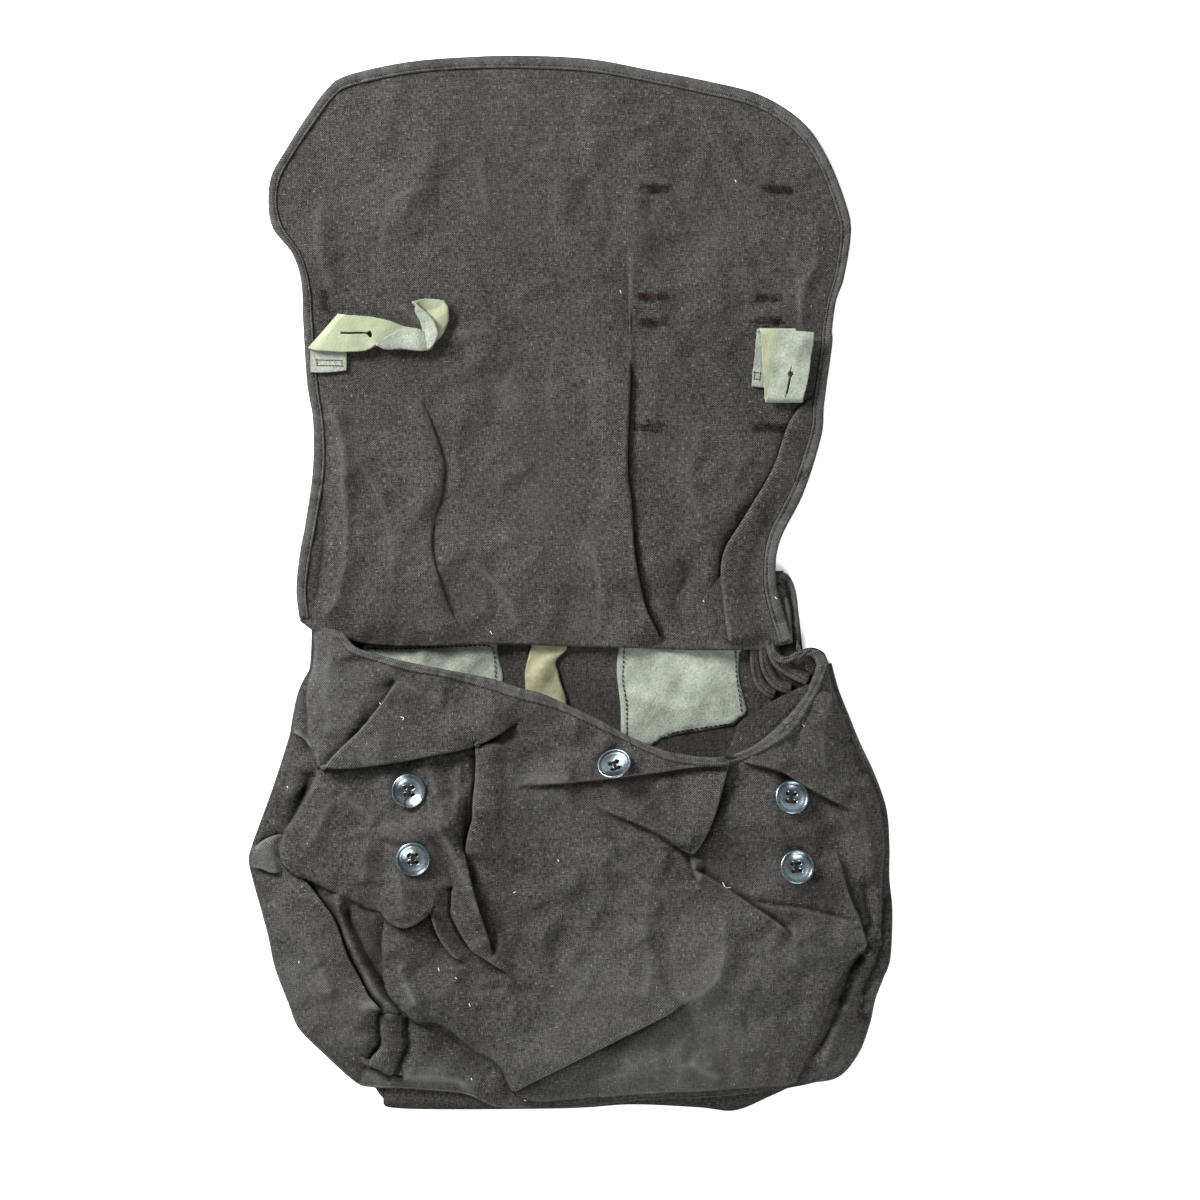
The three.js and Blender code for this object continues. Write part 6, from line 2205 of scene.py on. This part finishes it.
@dataclass
class Trims:
    """The corner band, the rows of mending stitches on the flap and the lint."""

    finishes: Finishes
    band: tuple = ((379, 1014), (388, 1012), (397, 1013), (403, 1014), (403, 1032), (405, 1040), (397, 1059),
                   (391.5, 1075), (380, 1070), (369.5, 1065.5), (371, 1058), (381, 1045), (380, 1030))
    tacks: tuple = ((655, 188, 15), (778, 188, 13), (655, 296, 15), (770, 297, 14), (655, 321, 15), (770, 320, 14),
                    (650, 427, 15), (770, 427, 17))

    def corner_band(self, ground: Ground) -> bpy.types.Object:
        """Makes the band that is sewn over the lower left corner.

        Args:
            ground: the bag.

        Returns:
            The band.
        """
        ring = ringed(self.band, 1.1 * MM)
        flat, faces = cut_cloth(ring, 1.2 * MM)
        edge = off(ring, flat, closed=True)
        base = ground.top(flat, 8 * MM)
        waves = Crumple(17, ((9, 0.5), (5, 0.2)))
        middle = smooth(edge / (3 * MM))
        rounded = np.sqrt(np.clip(edge / (0.9 * MM), 0, 1))
        height = base + 0.9 * MM + (1.4 * MM + waves.lift(flat)) * rounded + 0.4 * MM * middle
        worn = 0.35 * np.exp(-edge / (1.2 * MM))
        piece = closed_sheet(
            "sewn_corner_band", draped(flat, faces, height, worn), CLOTH, self.finishes.bag_canvas
        )
        return finish_piece(piece, "hem_canvas", "corner_band")

    def mending(self, ground: Ground) -> list[bpy.types.Object]:
        """Makes the rows of dark thread on the flap where straps were sewn on.

        Args:
            ground: the flap.

        Returns:
            The rows and the loose ends.
        """
        rng = np.random.default_rng(14)
        rows, ends = [], []
        for column, row, half in self.tacks:
            for line_row in (-3.2, -1.0, 1.2, 3.0):
                x = np.linspace(-half, half * rng.uniform(0.7, 1.0), 14)
                y = line_row + rng.normal(0, 0.5, 14)
                flat = spots(np.column_stack([column + x, row + y]))
                rows.append(np.column_stack([flat, ground.top(flat, 2 * MM) + 0.05 * MM]))
            for _ in range(9):
                a = np.array([column, row]) + rng.normal(0, 1, 2) * (half * 0.55, 2.2)
                b = a + rng.normal(0, 1, 2) * (5, 2.5)
                flat = spots([a, (a + b) / 2 + rng.normal(0, 1.2, 2), b])
                height = ground.top(flat, 2 * MM) + np.array((0.1, 0.7, 0.15)) * MM
                ends.append(flowing(np.column_stack([flat, height]), count=8))
        upright = [(322, 290), (323, 296), (323, 302), (324, 309)]
        flat = traced(upright, step=MM)
        for shift in (-1.0, 0.0, 1.0):
            rows.append(np.column_stack([flat + (shift * MM, 0), ground.top(flat, 2 * MM) + 0.05 * MM]))
        dense = boxed([(318, 296), (328, 296), (327, 321), (319, 321), (318, 296)], 10)
        outline = [np.column_stack([dense, ground.top(dense, 2 * MM) + 0.05 * MM])]
        made = [
            Stitching("mending_rows", self.finishes.brown, pitch=1.0, length=1.5, width=0.5,
                      turn=0.9, wander=0.9, seed=3).sew(rows),
            Stitching("tab_outline", self.finishes.brown, pitch=1.9, length=1.4, width=0.35).sew(outline),
            joined("mending_ends", [tube("mending_end", e, 0.24 * MM, self.finishes.brown, 5) for e in ends]),
        ]
        return [finish_piece(piece, None) for piece in made]

    def lint(self, ground: Ground) -> bpy.types.Object:
        """Makes a few pale threads that lie on the cloth.

        Args:
            ground: all the cloth.

        Returns:
            The threads as one piece.
        """
        paths = (
            ((722, 881), (725, 886), (730, 886)), ((402, 716), (405, 717), (404, 719)), ((380, 702), (382, 704)),
            ((800, 716), (802, 718)), ((802, 724), (804, 726)), ((287, 786), (288, 788)), ((514, 891), (516, 890)),
            ((299, 961), (299, 963)), ((439, 966), (440, 969)), ((470, 1001), (471, 1004)), ((456, 975), (458, 976)),
            ((471, 1078), (472, 1080)), ((524, 1100), (526, 1101)), ((558, 858), (559, 860)), ((490, 631), (492, 634)),
            ((775, 597), (777, 599)), ((703, 600), (704, 602)), ((620, 290), (621, 293)), ((735, 180), (736, 182)),
        )
        parts = []
        for places in paths:
            flat = traced(places, count=8)
            height = smoothed(ground.top(flat, 8 * MM), 2) + 0.2 * MM
            parts.append(tube("thread_end", np.column_stack([flat, height]), 0.16 * MM, self.finishes.lint, 5))
        return finish_piece(joined("lint", parts), None)


@dataclass
class Studio:
    """The floor, the light and the camera."""

    finishes: Finishes | None = None
    width: float = 600 * MM
    centre: tuple = (15 * MM, -8.75 * MM)
    distance: float = 2.4
    sensor: float = 36.0

    def camera(self) -> bpy.types.Object:
        """Sets the camera straight above the bag."""
        data = bpy.data.cameras.new("camera")
        data.sensor_width = self.sensor
        data.lens = self.sensor * (self.distance - 8 * MM) / self.width
        data.clip_end = 50
        camera = bpy.data.objects.new("camera", data)
        camera.location = (*self.centre, self.distance)
        bpy.context.scene.collection.objects.link(camera)
        bpy.context.scene.camera = camera
        return camera

    def light(self) -> None:
        """Sets the soft light."""
        world = bpy.data.worlds.new("studio")
        world.use_nodes = True
        back = world.node_tree.nodes["Background"]
        back.inputs[0].default_value = (0.93, 0.97, 1.0, 1.0)
        board = Board(world.node_tree)
        sky = board.add("ShaderNodeTexCoord").outputs["Generated"]
        height = board.add("ShaderNodeSeparateXYZ", {0: sky}).outputs[2]
        towards = board.add("ShaderNodeVectorMath", {0: sky, 1: (-0.6, 0.5, 0.0)},
                            operation="DOT_PRODUCT").outputs["Value"]
        level = board.plus(board.spread(height, 0.2, 0.98, 1.15, 0.28), board.times(towards, 0.75))
        world.node_tree.links.new(board.sum("MAXIMUM", level, 0.05), back.inputs[1])
        bpy.context.scene.world = world
        bpy.context.scene.view_settings.view_transform = "Standard"
        for name, place, size, power in (
            ("window", (-1.0, 0.85, 0.8), (0.6, 0.5), 80.0),
            ("fill", (0.5, -1.1, 1.0), (0.9, 0.6), 22.0),
        ):
            data = bpy.data.lights.new(name, "AREA")
            data.shape = "RECTANGLE"
            data.size, data.size_y = size
            data.energy = power
            lamp = bpy.data.objects.new(name, data)
            lamp.location = place
            lamp.rotation_euler = (Vector((0, 0, 0)) - Vector(place)).to_track_quat("-Z", "Y").to_euler()
            bpy.context.scene.collection.objects.link(lamp)

    def floor(self) -> bpy.types.Object:
        """Makes the floor."""
        size = 6.0
        points = np.array([(-size, -size, 0), (size, -size, 0), (size, size, 0), (-size, size, 0)])
        floor = mesh_piece("floor", points - (0, 0, 0.2 * MM), [(0, 1, 2, 3)], [self.finishes.floor])
        return floor


def main() -> None:
    """Builds the haversack in order."""
    logging.basicConfig(level=logging.INFO, format="%(name)s %(message)s")
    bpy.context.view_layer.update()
    Studio().camera()
    finishes = Finishes()
    studio = Studio(finishes)
    studio.light()
    studio.floor()

    back = BackAndFlap(finishes).build()
    bag = Bag(finishes)
    front = bag.front()
    gusset = bag.gusset()
    flap_ground, front_ground = Ground(back), Ground(front)
    hems = Hems(finishes)
    flap_pieces = hems.flap(flap_ground)
    mouth_pieces = hems.mouth(front_ground)
    interior = Inside(finishes)
    interior.patches(flap_ground)
    interior.strap_end(flap_ground)
    margin = interior.facing(Ground(front, mouth_pieces[0]))[0]
    nested = interior.nested()
    interior.layered(flap_ground)
    Tabs(finishes).build(Ground(back, flap_pieces[0]))
    buttons = (
        Button("button_upper_left", (410, 790), finishes, loose_end=True),
        Button("button_lower_left", (414, 857), finishes, spin=0.05),
        Button("button_upper_right", (790, 797), finishes, spin=-0.08),
        Button("button_lower_right", (795, 866), finishes, spin=0.12),
        Button("button_centre", (615, 765), finishes, lean=(-0.2, 0.55), spin=0.35),
    )
    for button in buttons:
        button.build(front_ground)
    trims = Trims(finishes)
    band = trims.corner_band(Ground(front, gusset))
    trims.mending(flap_ground)
    trims.lint(Ground(back, front, gusset))


if __name__ == "__main__":
    main()
